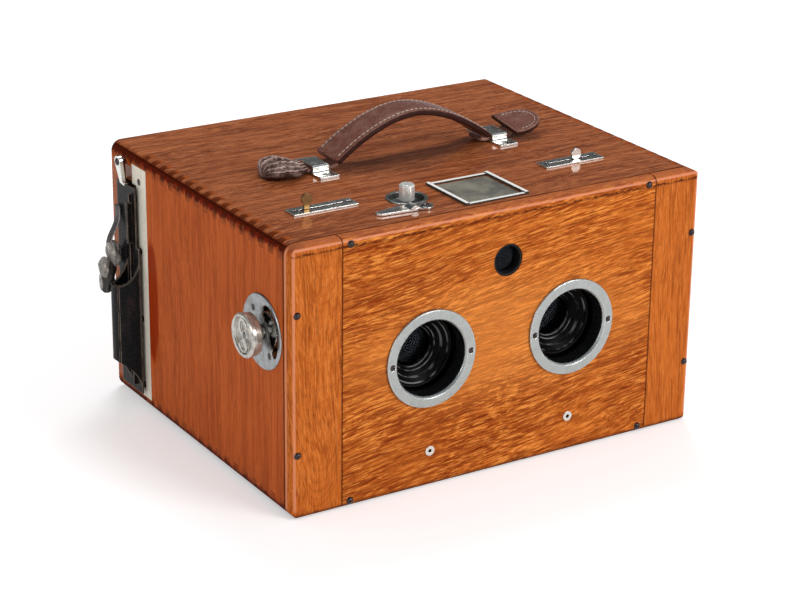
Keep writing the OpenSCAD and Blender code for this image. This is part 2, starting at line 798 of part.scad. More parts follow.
// Wheel with saw teeth that the trip pin holds
module ratchet_wheel() {
    step = 360 / ratchet_teeth;
    points = [for (i = [0:ratchet_teeth - 1]) each [
        [ratchet_r * cos(i * step), ratchet_r * sin(i * step)],
        [(ratchet_r - 1.3) * cos(i * step + 1), (ratchet_r - 1.3) * sin(i * step + 1)]
    ]];
    color(brass) from_front() translate([left_x + 2.5, dial_y, dial_z]) raise_x(0, 2) difference() {
        polygon(points);
        circle(shaft_r);
    }
}

module winding_shaft() {
    color(nickel) from_front() difference() {
        bar_x(knob_x - knob_h + 1.4, rack_x + rack_w + 5.5, dial_y, dial_z, shaft_r);
        bar_x(knob_x - knob_h, knob_x - knob_h + 6, dial_y, dial_z, centre_screw[2] + seat);
    }
}

// Knob turned with a stem, a collar and a broad dished face that carries an S-shaped grip
module winding_knob() {
    outer = -knob_h;
    head_r = knob_r - 0.5;
    head_x = outer + 6.2;
    stem_r = shaft_r + 1.2;
    color(nickel) from_front() translate([knob_x, dial_y, dial_z]) {
        turn_x(0, 0, 0) polygon([
            [shaft_r, outer + 1.4], [shaft_r, -0.5], [stem_r, -0.5], [stem_r, head_x],
            [head_r - 0.6, head_x], [head_r, head_x - 0.6], [head_r, outer + 3.2], [knob_r, outer + 2.8],
            [knob_r, outer + 0.9], [knob_r - 0.7, outer + 0.2],
            [knob_r - 1.9, outer + 0.4], [knob_r - 2.3, outer + 1.4]
        ]);
        raise_x(outer + 0.5, outer + 1.5) {
            for (side = [0, 180]) rotate(side) translate([0, 4.6]) ring_sector(2.9, 4.1, -60, 175);
        }
    }
}

module knob_screw() {
    color("#6e6a62") from_front() translate([knob_x - knob_h + 1.4, dial_y, dial_z])
        rotate([0, -90, 0]) round_screw(centre_screw);
}

// Places of the two screws and pillars that hold the cage round the ratchet
module cage_places() {
    for (a = [52, 232]) translate([0, 12.7 * cos(a), 12.7 * sin(a)]) children();
}

// Ring sector between a radius and the window's edge, with round ends
module window_arc(inner_r, start, end) {
    half = (window_r - inner_r) / 2;
    ring_sector(inner_r, window_r, start, end);
    for (a = [start, end]) rotate(a) translate([inner_r + half, 0]) circle(half);
}

// Window through which the ratchet is seen: wide on the front side, narrow past the lower screw
module dial_window(x0, x1) {
    raise_x(x0, x1) {
        window_arc(6.6, 120, 182);
        window_arc(12.4, 182, 211);
    }
}

module dial_plate() {
    t = dial_plate_t;
    color(nickel) from_front() translate([left_x, dial_y, dial_z]) difference() {
        turn_x(0, 0, 0) polygon([[0, -t], [dial_plate_r - 0.5, -t], [dial_plate_r, 0.4 - t],
                                 [dial_plate_r, 0], [0, 0]]);
        bar_x(-2, 1, 0, 0, shaft_r + 1.2 + slide_gap);
        dial_window(-2, 1);
        cage_places() translate([-t, 0, 0]) rotate([0, -90, 0]) flat_screw_hole(cage_screw);
    }
}

// All the small countersunk screws of the nickel fittings, and three round-headed ones
module fitting_screws() {
    color("#4b4740") from_front() {
        translate([left_x - dial_plate_t, dial_y, dial_z]) cage_places() rotate([0, -90, 0])
            flat_screw(cage_screw);
        at_slot_plates() slot_plate_screw_places() translate([0, 0, case_h + slot_plate_t])
            flat_screw(slot_screw);
        loop_places() loop_screw_places() flat_screw(loop_screw);
        edge_plate_screw_places() rotate([0, -90, 0]) flat_screw(edge_screw);
        translate([catch_pivot[0], catch_pivot[1], catch_z + catch_t + 0.1]) round_screw(catch_screw);
        translate([hook_x0 - 0.1, hook_y, hook_z]) rotate([0, -90, 0]) round_screw(hook_screw);
    }
}

// Inner plate of the cage with the shaft's bearing, two pillars and a slot for the trip pin
module cage_plate() {
    color(brass) from_front() translate([in_left, dial_y, dial_z]) difference() {
        union() {
            intersection() {
                bar_x(0, 1.2, 0, 0, dial_plate_r);
                block(0, 1.2, -dial_plate_r, shutter_board_y - dial_y - 0.2, -dial_plate_r, dial_plate_r);
            }
            cage_places() bar_x(-board_t, 0.5, 0, 0, 1.9);
        }
        bar_x(-1, 2, 0, 0, shaft_r + turn_gap);
        cage_places() bar_x(-board_t - 1, -board_t + cage_screw[3] + 0.5, 0, 0, cage_screw[2] + seat);
        raise_x(-1, 2) translate([pin_y - dial_y - 6, pin_z - dial_z - 1.6]) square([7.5, 4]);
    }
}

// Cup of the mainspring on a foot that stands on the shutter board
module spring_barrel() {
    x0 = spring_x0;
    x1 = spring_x1;
    color(brass) from_front() difference() {
        union() {
            bar_x(x0, x1, dial_y, dial_z, barrel_cup_r);
            block(x0, x1, dial_y, shutter_board_y, dial_z - 6, dial_z + 6);
        }
        bar_x(x0 - 1, x1 - 1, dial_y, dial_z, barrel_cup_r - 1);
        bar_x(x0, x1 + 1, dial_y, dial_z, shaft_r + turn_gap);
    }
}

// Flat spring wound in a spiral from the shaft to the barrel's wall
module mainspring() {
    turn_points = 24;
    count = spring_coils * turn_points;
    r0 = shaft_r + 0.4;
    r1 = barrel_cup_r - 1.3;
    t = 0.3;
    function spiral(i, shift) =
        let (r = r0 + (r1 - r0) * i / count + shift, a = i * 360 / turn_points)
        [r * cos(a), r * sin(a)];
    color("#5c6470") from_front() translate([0, dial_y, dial_z]) raise_x(spring_x0 + 0.5, spring_x1 - 1.5)
        polygon(concat([for (i = [0:count]) spiral(i, 0)], [for (i = [count:-1:0]) spiral(i, t)]));
}

// Bracket that holds the inner end of the shaft, clear above the falling plate's arm
module shaft_bracket() {
    x0 = rack_x + rack_w + 2;
    x1 = x0 + bracket_t;
    z_top = rack_z0 + arm_h + shutter_travel + 1;
    color(brass) from_front() difference() {
        union() {
            block(x0, x1, dial_y - 5, shutter_y - 1, dial_z - 5, z_top + 8);
            block(x0, x1, dial_y - 5, shutter_board_y, z_top, z_top + 8);
        }
        bar_x(x0 - 1, x1 + 1, dial_y, dial_z, shaft_r + turn_gap);
    }
}

// Rocking shaft: an arm under the release knob and an arm with the pin at the ratchet
module trip_shaft() {
    arm_x = in_left + 1.7;
    color("#7c7468") from_front() {
        bar_x(arm_x, release_x + 6, trip_y, trip_z, trip_r);
        block(release_x - 3, release_x + 3, trip_y, release_y + 2.5, trip_z - 0.9, trip_z + 0.9);
        raise_x(arm_x, arm_x + 2) polygon([
            [trip_y - trip_r, trip_z], [trip_y + trip_r, trip_z],
            [pin_y + 1.4, pin_z - 1.4], [pin_y - 1.4, pin_z - 1.4]
        ]);
        bar_x(left_x + 2, arm_x + 1, pin_y, pin_z, pin_r);
    }
}

module trip_bearings() {
    color(brass) from_front() for (x = [in_left + 14, release_x - 12]) difference() {
        block(x, x + 4, trip_y - 4.5, trip_y + 4.5, trip_z - 4, in_top);
        bar_x(x - 1, x + 5, trip_y, trip_z, trip_r + turn_gap);
    }
}

// Leaf spring under the top board that returns the trip shaft by pressing on a flat of the arm
module trip_spring() {
    x0 = release_x - 7.2;
    color("#5c6470") from_front() raise_x(x0, x0 + 2.6) polygon([
        [trip_y - 9, in_top], [trip_y - 9, in_top - 0.8], [trip_y - 3, in_top - 0.8],
        [trip_y + 4, in_top - 2.6], [release_y - 3, in_top - 3.2], [release_y - 3, in_top - 2.8],
        [trip_y + 4, in_top - 2.2], [trip_y - 3, in_top]
    ]);
}

module release_button() {
    stem_z = trip_z + 0.9 + 0.2;
    base_z = case_h - cup_depth + release_travel + 0.8;
    color(nickel) from_front() translate([release_x, release_y, 0]) rotate_extrude() polygon([
        [0, stem_z], [release_stem_r - 1.2, stem_z], [release_stem_r, stem_z + 0.8],
        [release_stem_r, base_z], [release_r, base_z],
        [release_r, case_h + release_h - 0.7], [release_r - 0.7, case_h + release_h], [0, case_h + release_h]
    ]);
}

// Dished cup let into the top round the release knob
module release_cup() {
    floor_z = case_h - cup_depth;
    color("#8f8b83") from_front() translate([release_x, release_y, 0]) rotate_extrude() polygon([
        [release_stem_r + turn_gap, floor_z - cup_floor_t], [cup_r - cup_lip, floor_z - cup_floor_t],
        [cup_r - cup_lip, case_h], [cup_r, case_h], [cup_r, case_h + 0.5], [cup_r - 0.6, case_h + 0.7],
        [cup_r - 1.8, case_h + 0.5], [cup_r - 2.2, floor_z + 1.2], [cup_r - 3.4, floor_z],
        [release_stem_r + turn_gap, floor_z]
    ]);
}

// Lever in front of the release, with a ridge for the finger pressed up across it
module time_catch() {
    z0 = catch_z;
    t = catch_t;
    px = catch_pivot[0];
    py = catch_pivot[1];
    tip = px - catch_l;
    color(nickel) from_front() difference() {
        union() {
            raise_z(z0, z0 + t) {
                translate([px, py]) circle(4);
                polygon([
                    [tip, py + 1], [tip + 1.5, py - 1], [px - 6, py - 2.4], [px, py - 4],
                    [px, py + 4], [px - 5, py + 4], [px - 9, py + 4.6], [px - 13, py + 5.6],
                    [tip + 3, py + 3.4], [tip, py + 2.6]
                ]);
            }
            raise_y(py - 2.3, py + 3.4) polygon([for (i = [0:12])
                [px - 10 + i * 6 / 12, z0 + t - 0.1 + 1.5 * sin(i * 15)]]);
        }
        bar_z(px, py, z0 - 1, z0 + t + 1, catch_screw[2] + turn_gap);
    }
}

// Thumb tab: a neck through the slot and a small disc across it
module thumb_tab(x, z0, top) {
    disc_r = 2.9;
    block(x - tab_neck / 2, x + tab_neck / 2, slot_plate_y - stop_t / 2, slot_plate_y + stop_t / 2,
          z0, top - disc_r);
    bar_y(x, slot_plate_y - 0.6, slot_plate_y + 0.6, top - disc_r, disc_r);
}

// Strip of three stops for each lens, with its arm up to the left tab
module stop_slide() {
    half = stop_half;
    y0 = slot_plate_y - stop_t / 2;
    x0 = stop_tab_x - tab_neck / 2 - 1;
    color(brass) from_front() {
        difference() {
            block(x0, lens_spacing / 2 + half, y0, y0 + stop_t, lens_z - half, lens_z + half);
            for (s = [-1, 1], i = [0:2])
                bar_y(s * lens_spacing / 2 - stop_steps[i], y0 - 1, y0 + stop_t + 1, lens_z, stop_radii[i]);
        }
        block(x0, x0 + tab_neck + 2, y0, y0 + stop_t, lens_z + half - 0.01, in_top - 2);
        thumb_tab(stop_tab_x, in_top - 2.01, case_h + stop_tab_h);
    }
}

// Grooved runners for the stop strip, open on the left for its arm
module stop_rails() {
    half = stop_half;
    y0 = shutter_board_y + shutter_board_t;
    y1 = slot_plate_y + stop_t / 2 + slide_gap + 1.2;
    gap = slide_gap;
    color(brass) from_front() difference() {
        union() {
            block(stop_tab_x - 4, lens_spacing / 2 + 34, y0, y1, lens_z - half - 3, lens_z - half + 1);
            block(stop_tab_x + 26, lens_spacing / 2 + 34, y0, y1, lens_z + half - 1, lens_z + half + 3);
        }
        block(stop_tab_x - 5, lens_spacing / 2 + 35, slot_plate_y - stop_t / 2 - gap,
              slot_plate_y + stop_t / 2 + gap, lens_z - half - gap, lens_z + half + gap);
    }
}

// Flat cam under the top board whose slanted slot moves the lens board
module focus_slide() {
    pin_y0 = lens_seat_y + lens_board_t / 2;
    slot_r = focus_pin_r + turn_gap;
    lift = focus_slope * cam_reach;
    color(brass) from_front() {
        difference() {
            block(cam_x0, cam_x1, pin_y0 - lift - 5, slot_plate_y + stop_t / 2, cam_z, cam_z + cam_t);
            raise_z(cam_z - 1, cam_z + cam_t + 1) {
                for (s = [-1, 1])
                    translate([focus_pin_x + s * cam_reach, pin_y0 - s * lift]) circle(slot_r);
                translate([focus_pin_x, pin_y0]) rotate(-atan(focus_slope))
                    square([2 * norm([cam_reach, lift]), 2 * slot_r - 0.02], center = true);
            }
        }
        thumb_tab(focus_tab_x, cam_z + cam_t - 0.2, case_h + focus_tab_h);
    }
}

module slot_plates() {
    t = slot_plate_t;
    color(nickel) from_front() at_slot_plates() difference() {
        raise_z(case_h, case_h + t)
            translate([-slot_plate_l / 2, -slot_plate_w / 2]) square([slot_plate_l, slot_plate_w]);
        block(-slot_half - tab_neck / 2, slot_half + tab_neck / 2, -0.9, 0.9, case_h - 1, case_h + 2);
        slot_plate_screw_places() translate([0, 0, case_h + t]) flat_screw_hole(slot_screw);
    }
}

// Reflecting finder: an open box with a sloping back, a lens tube and a seat for the mirror
module finder_box() {
    x0 = finder_x - box_half;
    x1 = finder_x + box_half;
    tube_r = finder_tube_r;
    color(black) from_front() {
        difference() {
            block(x0, x1, panel_t, box_y1, box_z0, in_top);
            block(x0 + box_wall, x1 - box_wall, panel_t + box_wall, box_y1 - box_wall,
                  box_z0 + box_wall, in_top + 1);
            bar_y(finder_x, 0, panel_t + 4, finder_z, tube_r - 0.01);
        }
        difference() {
            bar_y(finder_x, 0.4, panel_t + box_wall, finder_z, tube_r);
            bar_y(finder_x, 0, panel_t + 5, finder_z, finder_r);
        }
        // Sloping cheeks under the mirror
        for (x = [x0 + box_wall - 0.01, x1 - box_wall - 1.99]) raise_x(x, x + 2) polygon([
            [mirror_y0, box_z0 + box_wall - 0.01], [box_y1 - box_wall + 0.01, box_z0 + box_wall - 0.01],
            [box_y1 - box_wall + 0.01, mirror_z(box_y1 - box_wall)]
        ]);
    }
}

// The mirror's lower face rises at 45 degrees from the floor of the box
mirror_y0 = frame_y - (finder_z - box_z0 - box_wall) + 1;
function mirror_z(y) = box_z0 + box_wall + y - mirror_y0;

module finder_mirror() {
    t = 1.2;
    far_y = box_y1 - box_wall - 0.2;
    color("#b9c4c9") from_front()
        raise_x(finder_x - box_half + box_wall + 0.2, finder_x + box_half - box_wall - 0.2) polygon([
            [mirror_y0, mirror_z(mirror_y0)], [far_y, mirror_z(far_y)],
            [far_y, mirror_z(far_y) + t * sqrt(2)], [mirror_y0 - t * sqrt(2) + 1, mirror_z(mirror_y0) + 1],
            [mirror_y0 - t * sqrt(2) + 1, mirror_z(mirror_y0)]
        ]);
}

module finder_lens() {
    color("#5b6a78") from_front() translate([finder_x, 5.5, finder_z]) rotate([90, 0, 0])
        rotate_extrude() lens_outline(finder_r, 2, 1.6);
}

module finder_glass() {
    color("#9aa39a") from_front() block(finder_x - box_half, finder_x + box_half,
        frame_y - box_half, frame_y + box_half, glass_z, case_h - 0.2);
}

// Four nickel strips that lap over each other at the corners
module finder_frame() {
    half = frame_w / 2;
    color(nickel) from_front() translate([finder_x, frame_y, case_h]) {
        difference() {
            block(-half, half, -half, half, 0, 0.8);
            block(-half + frame_strip, half - frame_strip, -half + frame_strip, half - frame_strip, -1, 2);
        }
        for (s = [-1, 1]) {
            translate([s * (half - frame_strip / 2), 0, 0])
                block(-frame_strip / 2, frame_strip / 2, -half, half, 0.79, 1.4);
        }
    }
}

// Wall that parts the two pictures
module septum() {
    color(black) from_front() block(-1.5, 1.5, box_y1 + 2, slot_y0 - 2, board_t, in_top);
}

// Arched grip: height of its underside at u, which runs from -1 to 1 along the grip
function grip_z(u) = leather_z + 1.4 + grip_rise * (1 - pow(abs(u), 1.8));

module handle_grip() {
    steps = 24;
    low = [for (i = [0:steps]) let (u = 2 * i / steps - 1) [u * grip_half, grip_z(u)]];
    high = [for (i = [steps:-1:0]) let (u = 2 * i / steps - 1)
        [u * grip_half, grip_z(u) + grip_t + 0.8 * abs(u)]];
    color(leather) from_front() translate([handle_x, 0, 0])
        raise_y(handle_y - grip_w / 2, handle_y + grip_w / 2) polygon(concat(low, high));
}

// Outline of an end tab, straight towards the loop and half round at its tip
module tab_outline() {
    r = grip_w / 2 + 1.4;
    translate([tab_x, -r]) square([tab_l - r, 2 * r]);
    intersection() {
        translate([tab_x + tab_l - r, 0]) circle(r);
        translate([tab_x, -r]) square([tab_l, 2 * r]);
    }
}

// Leather ends: a neck through the loop and a broad tab that can't pass it
module handle_tabs() {
    neck_half = loop_half - loop_t - 2 * slide_gap;
    dome_r = 15;
    color(leather) from_front() translate([handle_x, handle_y, 0]) {
        for (s = [0, 1]) mirror([s, 0, 0])
            block(grip_half, tab_x + 1, -neck_half, neck_half, leather_z, leather_z + neck_t);
        // The left tab is padded and domed
        mirror([1, 0, 0]) intersection() {
            raise_z(leather_z, leather_z + 9.4) tab_outline();
            bar_x(0, case_w, 0, leather_z + 9.2 - dome_r, dome_r);
        }
        // The right tab is a flat slab that stands clear of the top
        raise_z(leather_z + tab_lift, leather_z + tab_lift + 4) tab_outline();
        block(tab_x, tab_x + 2.5, -neck_half, neck_half, leather_z, leather_z + tab_lift + 0.5);
    }
}

// Nickel loops bent from strip, each with two feet
module handle_loops() {
    half = loop_half;
    foot = loop_half + loop_foot;
    t = loop_t;
    h = loop_h;
    color(nickel) from_front() loop_places() difference() {
        raise_x(-loop_w / 2, loop_w / 2) polygon([
            [-foot, 0], [-half + t, 0], [-half + t, h - t - 0.5], [-half + t + 0.5, h - t],
            [half - t - 0.5, h - t], [half - t, h - t - 0.5], [half - t, 0], [foot, 0],
            [foot, t], [half + 0.5, t], [half, t + 0.5], [half, h - 0.9], [half - 0.9, h],
            [-half + 0.9, h], [-half, h - 0.9], [-half, t + 0.5], [-half - 0.5, t], [-foot, t]
        ]);
        for (s = [-1, 1]) translate([s * loop_w / 2, 0, t + h / 2])
            cube([loop_waist, 2 * half + 1, h], center = true);
        loop_screw_places() flat_screw_hole(loop_screw);
    }
}

module edge_plate_screw_places() {
    for (i = [0:3]) translate([left_x, slot_y0 - 3, case_h * (0.09 + 0.27 * i)]) children();
}

// Nickel strip let into the side board, with an ear that covers the top of the slot's front
module edge_plate() {
    z0 = edge_plate_z0;
    z1 = edge_plate_z1;
    color(nickel) from_front() difference() {
        union() {
            block(left_x, left_x + edge_plate_t, slot_y0 - edge_plate_w + seat, slot_y0, z0, z1);
            block(left_x, left_x + edge_plate_t, slot_y0 - 0.5, slot_y0 + edge_ear_w,
                  in_top - guide_h + 0.6, z1);
        }
        edge_plate_screw_places() rotate([0, -90, 0]) flat_screw_hole(edge_screw);
    }
}

// Wooden batten that closes the slot over the magazine
module magazine_guide() {
    color(wood_red) from_front() block(left_x + 1.5, in_right, slot_y1 - 10, slot_y1 - 3.5,
                                       in_top - guide_h + 0.3, in_top);
}

// Hook that hangs across the slot above the magazine's end
module latch_hook() {
    color(nickel) from_front() difference() {
        raise_x(hook_x0, hook_x0 + 2) {
            translate([hook_y, hook_z]) circle(3.2);
            polygon([
                [hook_y - 3, hook_z + 1], [hook_y - 5.4, hook_z - hook_l + 1.6],
                [hook_y - 7.6, hook_z - hook_l + 0.6], [hook_y - 7.6, hook_z - hook_l - 0.4],
                [hook_y - 2.6, hook_z - hook_l], [hook_y + 3, hook_z - 1]
            ]);
        }
        bar_x(hook_x0 - 1, left_x, hook_y, hook_z, hook_screw[2] + turn_gap);
    }
}

// Sheet-metal magazine with a picture opening in front and a guard on its outer end
module magazine_case() {
    w = mag_wall;
    color(black) from_front() difference() {
        union() {
            block(flange_x - 0.4, mag_x1, mag_y0, mag_y1, mag_z0, mag_z1);
            magazine_flange();
            bag_guard();
        }
        // Room for the plates and their spring
        block(left_x + 4, mag_x1 - w, plates_y, mag_y1 - w, mag_z0 + w, mag_z1 - w);
        // Slit for the dark slide, open at the outer end
        block(left_x - 25, mag_x1 - w, slit_y0, slit_y0 + 0.8, mag_z0 + 3, mag_z1 - 3);
        block(-plate_w / 2 + 2, plate_w / 2 - 2, mag_y0 - 1, mag_y0 + 3,
              plates_z - plate_h / 2 + 2, plates_z + plate_h / 2 - 2);
    }
}

// End flange, narrower above, where the edge plate shows
module magazine_flange() {
    y0 = flange_y1 - mag_flange_w;
    raise_x(flange_x - 0.8, flange_x) difference() {
        translate([y0, mag_z0]) square([mag_flange_w, mag_z1 - mag_z0]);
        translate([y0 - 1, mag_z1 - 32]) square([4, 33]);
    }
}

// Guard in front of the folded bag: a half-round front, a flat back and two scooped edges
module bag_guard() {
    r = guard_r;
    cx = left_x - guard_out + r;
    cy = flange_y1 - r;
    z0 = mag_z0 + 2;
    z1 = lens_z + 13;
    scoop_r = 19.5;
    intersection() {
        difference() {
            bar_z(cx, cy, z0, z1, r);
            intersection() {
                bar_z(cx, cy, z0 - 1, z1 + 1, r - 1.2);
                block(cx - r, left_x, cy - r, guard_y1 - 1.2, z0 - 1, z1 + 1);
            }
        }
        block(cx - r, flange_x - 0.7, cy - r, guard_y1, z0, z1);
        raise_y(cy - r, cy + r) difference() {
            translate([cx - r, z0]) square([2 * r, z1 - z0]);
            for (z = [z0 - 1.5, z1 + 3.5]) translate([cx - r - 9, z]) circle(scoop_r);
        }
    }
}

// Thin plate that covers the picture opening and is drawn out to the left
module dark_slide() {
    y0 = slit_y0 + 0.15;
    color("#202023") from_front() {
        block(flange_x - 2.4, mag_x1 - mag_wall - 1, y0, y0 + 0.5, mag_z0 + 3.3, mag_z1 - 3.3);
        block(flange_x - 4, flange_x - 1.1, y0 - 1.2, y0 + 0.5, mag_z1 - 30, mag_z1 - 8);
    }
}

// Metal sheaths, each with a shallow tray for its plate
module plate_sheaths() {
    color("#3c3d40") from_front() for (i = [0:plate_count - 1]) let (y = plates_y + i * sheath_t)
        difference() {
            block(-plate_w / 2, plate_w / 2, y, y + sheath_t - 0.02,
                  plates_z - plate_h / 2, plates_z + plate_h / 2);
            block(-plate_w / 2 + 1, plate_w / 2 - 1, y - 1, y + sheath_t - 0.5,
                  plates_z - plate_h / 2 + 1, plates_z + plate_h / 2 - 1);
        }
}

module glass_plates() {
    color("#9fb0a4") from_front() for (i = [0:plate_count - 1]) let (y = plates_y + i * sheath_t)
        block(-plate_w / 2 + 1 + seat, plate_w / 2 - 1 - seat, y + 0.1, y + sheath_t - 0.5,
              plates_z - plate_h / 2 + 1 + seat, plates_z + plate_h / 2 - 1 - seat);
}

// Bowed spring that presses the sheaths forward
module pressure_spring() {
    y0 = plates_y + plate_count * sheath_t;
    y1 = mag_y1 - mag_wall;
    t = 0.5;
    bow = [for (i = [0:12]) [-60 + i * 10, y1 - (y1 - y0 - t) * sin(i * 15)]];
    color("#5c6470") from_front() raise_z(plates_z - 12, plates_z + 12) polygon(concat(
        bow, [for (i = [12:-1:0]) [bow[i][0], bow[i][1] - t]]));
}

// Soft leather bag, folded up behind the guard, and the strap that holds it
module changing_bag() {
    r = 6.4;
    x = left_x - bag_out + r;
    y = guard_y1 + r + slide_gap;
    color("#26211f") from_front() intersection() {
        union() {
            bar_z(x, y, lens_z - 1, lens_z + 14, r);
            for (z = [lens_z - 1, lens_z + 14]) translate([x, y, z]) sphere(r);
            bar_z(x + 4.4, y, lens_z, lens_z + 39, 2.6);
        }
        block(left_x - 40, flange_x - 0.8, 0, case_d, 0, case_h);
    }
}

top_board();
bottom_board();
left_board();
right_board();
rear_board();
front_panel();
front_end_pieces();
panel_screws();
eyelets();
lens_ring_left();
lens_ring_right();
ring_screws();
lens_barrel_left();
lens_barrel_right();
lens_glasses();
lens_board();
guide_rods();
shutter_board();
shutter_plate();
shutter_rack();
shutter_rails();
winding_knob();
knob_screw();
winding_shaft();
pinion();
ratchet_wheel();
dial_plate();
cage_plate();
spring_barrel();
mainspring();
shaft_bracket();
trip_shaft();
trip_bearings();
release_button();
release_cup();
time_catch();
trip_spring();
stop_slide();
stop_rails();
focus_slide();
slot_plates();
fitting_screws();
finder_box();
finder_lens();
finder_mirror();
finder_glass();
finder_frame();
septum();
handle_grip();
handle_tabs();
handle_loops();
magazine_guide();
edge_plate();
latch_hook();
magazine_case();
dark_slide();
plate_sheaths();
glass_plates();
pressure_spring();
changing_bag();
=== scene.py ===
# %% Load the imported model
import math
import bmesh
import bpy
import numpy as np
from mathutils import Matrix, Vector


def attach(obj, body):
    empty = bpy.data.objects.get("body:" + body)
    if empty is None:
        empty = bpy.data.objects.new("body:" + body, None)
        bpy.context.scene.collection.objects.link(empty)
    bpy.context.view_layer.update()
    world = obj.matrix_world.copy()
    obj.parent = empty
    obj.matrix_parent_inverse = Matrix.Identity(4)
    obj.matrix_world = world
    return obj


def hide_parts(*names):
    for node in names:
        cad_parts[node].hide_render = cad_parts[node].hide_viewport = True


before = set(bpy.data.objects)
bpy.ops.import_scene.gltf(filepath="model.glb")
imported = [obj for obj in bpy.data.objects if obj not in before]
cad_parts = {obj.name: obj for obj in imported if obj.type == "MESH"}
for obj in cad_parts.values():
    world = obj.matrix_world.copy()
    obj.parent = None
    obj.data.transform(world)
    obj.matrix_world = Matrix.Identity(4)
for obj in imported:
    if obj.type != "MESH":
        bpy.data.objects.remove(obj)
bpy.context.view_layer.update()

MM = 0.001

# %% [markdown]
# The object is a wooden stereo camera. Its boards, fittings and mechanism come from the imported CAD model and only
# need finishes. The leather parts are soft, so they are modelled here as new meshes. Everything is in metres, with
# the origin at the middle of the underside, the front towards -Y and up along +Z.

# %% [markdown]
# A photograph is matched by the place, the turn and the lens of the camera. The turn is built from three axes:
# right, up and backwards. They come from the yaw, the downward pitch and a small roll, and are the columns of the
# rotation, which is easier to check than three Euler angles.

# %% Camera
def add_to_scene(name, data):
    """A new object at the origin that holds a mesh, a lamp or a camera."""
    made = bpy.data.objects.new(name, data)
    bpy.context.scene.collection.objects.link(made)
    return made


yaw, pitch, roll = (math.radians(a) for a in (32.007, 21.323, 0.701))
forward = Vector((math.sin(yaw) * math.cos(pitch), math.cos(yaw) * math.cos(pitch), -math.sin(pitch)))
level_right = Vector((math.cos(yaw), -math.sin(yaw), 0.0))
level_up = level_right.cross(forward)
right = level_right * math.cos(roll) + level_up * math.sin(roll)
up = level_up * math.cos(roll) - level_right * math.sin(roll)
turn = Matrix((right, up, -forward)).transposed().to_4x4()
lens = bpy.data.cameras.new("view")
lens.lens, lens.sensor_width = 107.7, 36.0
camera = add_to_scene("view", lens)
camera.matrix_world = Matrix.Translation((-0.62648, -1.00228, 0.52033)) @ turn
bpy.context.scene.camera = camera
bpy.context.scene.view_settings.view_transform = "Standard"
print("camera stands", round((camera.location - Vector((0, 0, 0.07))).length, 3), "m from the camera body")

# %% [markdown]
# Node trees are long to write by hand, so two small classes keep them readable. A `Node` makes one node, sets its
# switches and fills its sockets: a value is typed into a socket, and another node's output is linked to it. An
# output is a `Signal`, and a sum or product of signals adds the Math nodes for it. So a shader reads as a formula.

# %% Nodes and signals
class Signal:
    """One output of a node. Arithmetic between signals and numbers adds Math nodes to the same tree."""

    def __init__(self, tree, socket):
        self.tree, self.socket = tree, socket

    def __add__(self, other):
        return calc("ADD", self, other)

    def __sub__(self, other):
        return calc("SUBTRACT", self, other)

    def __rsub__(self, other):
        return calc("SUBTRACT", other, self)

    def __mul__(self, other):
        return calc("MULTIPLY", self, other)

    def __truediv__(self, other):
        return calc("DIVIDE", self, other)

    def __pow__(self, other):
        return calc("POWER", self, other)

    def __abs__(self):
        return calc("ABSOLUTE", self)


class Node:
    """A new node. inputs maps a socket's name or number to a value or a signal. node[name] is one of its outputs.

    A colour is given without its alpha, and one number may stand for all three of a vector.
    """

    def __init__(self, tree, kind, inputs=None, **switches):
        self.tree, self.made = tree, tree.nodes.new(kind)
        for name, value in switches.items():
            setattr(self.made, name, value)
        for key, value in (inputs or {}).items():
            socket = self.made.inputs[key]
            if isinstance(value, Signal):
                tree.links.new(value.socket, socket)
            elif socket.type == "RGBA":
                socket.default_value = (*value, 1.0)
            elif socket.type == "VECTOR" and isinstance(value, float):
                socket.default_value = (value, value, value)
            else:
                socket.default_value = value

    def __getitem__(self, key):
        return Signal(self.tree, self.made.outputs[key])

# %% Math and vector nodes
def tree_of(values):
    """The tree of the first signal among some values."""
    return next(value.tree for value in values if isinstance(value, Signal))


def calc(how, *values):
    """The output of one Math node."""
    return Node(tree_of(values), "ShaderNodeMath", dict(enumerate(values)), operation=how)[0]


def vector_calc(how, *vectors):
    """The output of one Vector Math node: a number for a dot product or a length, and otherwise a vector."""
    made = Node(tree_of(vectors), "ShaderNodeVectorMath", dict(enumerate(vectors)), operation=how)
    return made["Value" if how in ("DOT_PRODUCT", "LENGTH") else "Vector"]


def split(vector):
    """The three parts of a vector."""
    parts = Node(vector.tree, "ShaderNodeSeparateXYZ", {0: vector})
    return parts[0], parts[1], parts[2]

# %% [markdown]
# Most of an old surface is built from a few patterns: colours laid over each other by masks, soft borders, thin
# lines, and clouds of noise. What several materials need goes into a group with named sockets.

# %% Patterns
def mix(amount, first, second):
    """Two colours mixed by an amount from 0 to 1."""
    return Node(tree_of((amount, first, second)), "ShaderNodeMix", {0: amount, 6: first, 7: second},
                data_type="RGBA", clamp_factor=True)[2]


def layers(colour, *coats):
    """Colours laid over a colour, one after another. Each coat is its amount and its colour."""
    for amount, coat in coats:
        colour = mix(amount, colour, coat)
    return colour


def fade(value, start, end, low=0.0, high=1.0):
    """Runs softly from low at start to high at end, and is flat outside them."""
    return Node(value.tree, "ShaderNodeMapRange", {0: value, 1: start, 2: end, 3: low, 4: high},
                interpolation_type="SMOOTHSTEP", clamp=True)[0]


def thin_line(distance, inner, outer):
    """1 where a distance is nearer to 0 than inner, and 0 where it is farther than outer."""
    return fade(abs(distance), inner, outer, 1.0, 0.0)


def cloud(vector, stretch, detail=3.0, roughness=0.55, distortion=0.0):
    """Noise from 0 to 1. stretch is its frequency, as one number or along each axis."""
    return Node(vector.tree, "ShaderNodeTexNoise", {
        "Vector": vector_calc("MULTIPLY", vector, stretch), "Scale": 1.0, "Detail": detail, "Roughness": roughness,
        "Distortion": distortion})["Fac"]

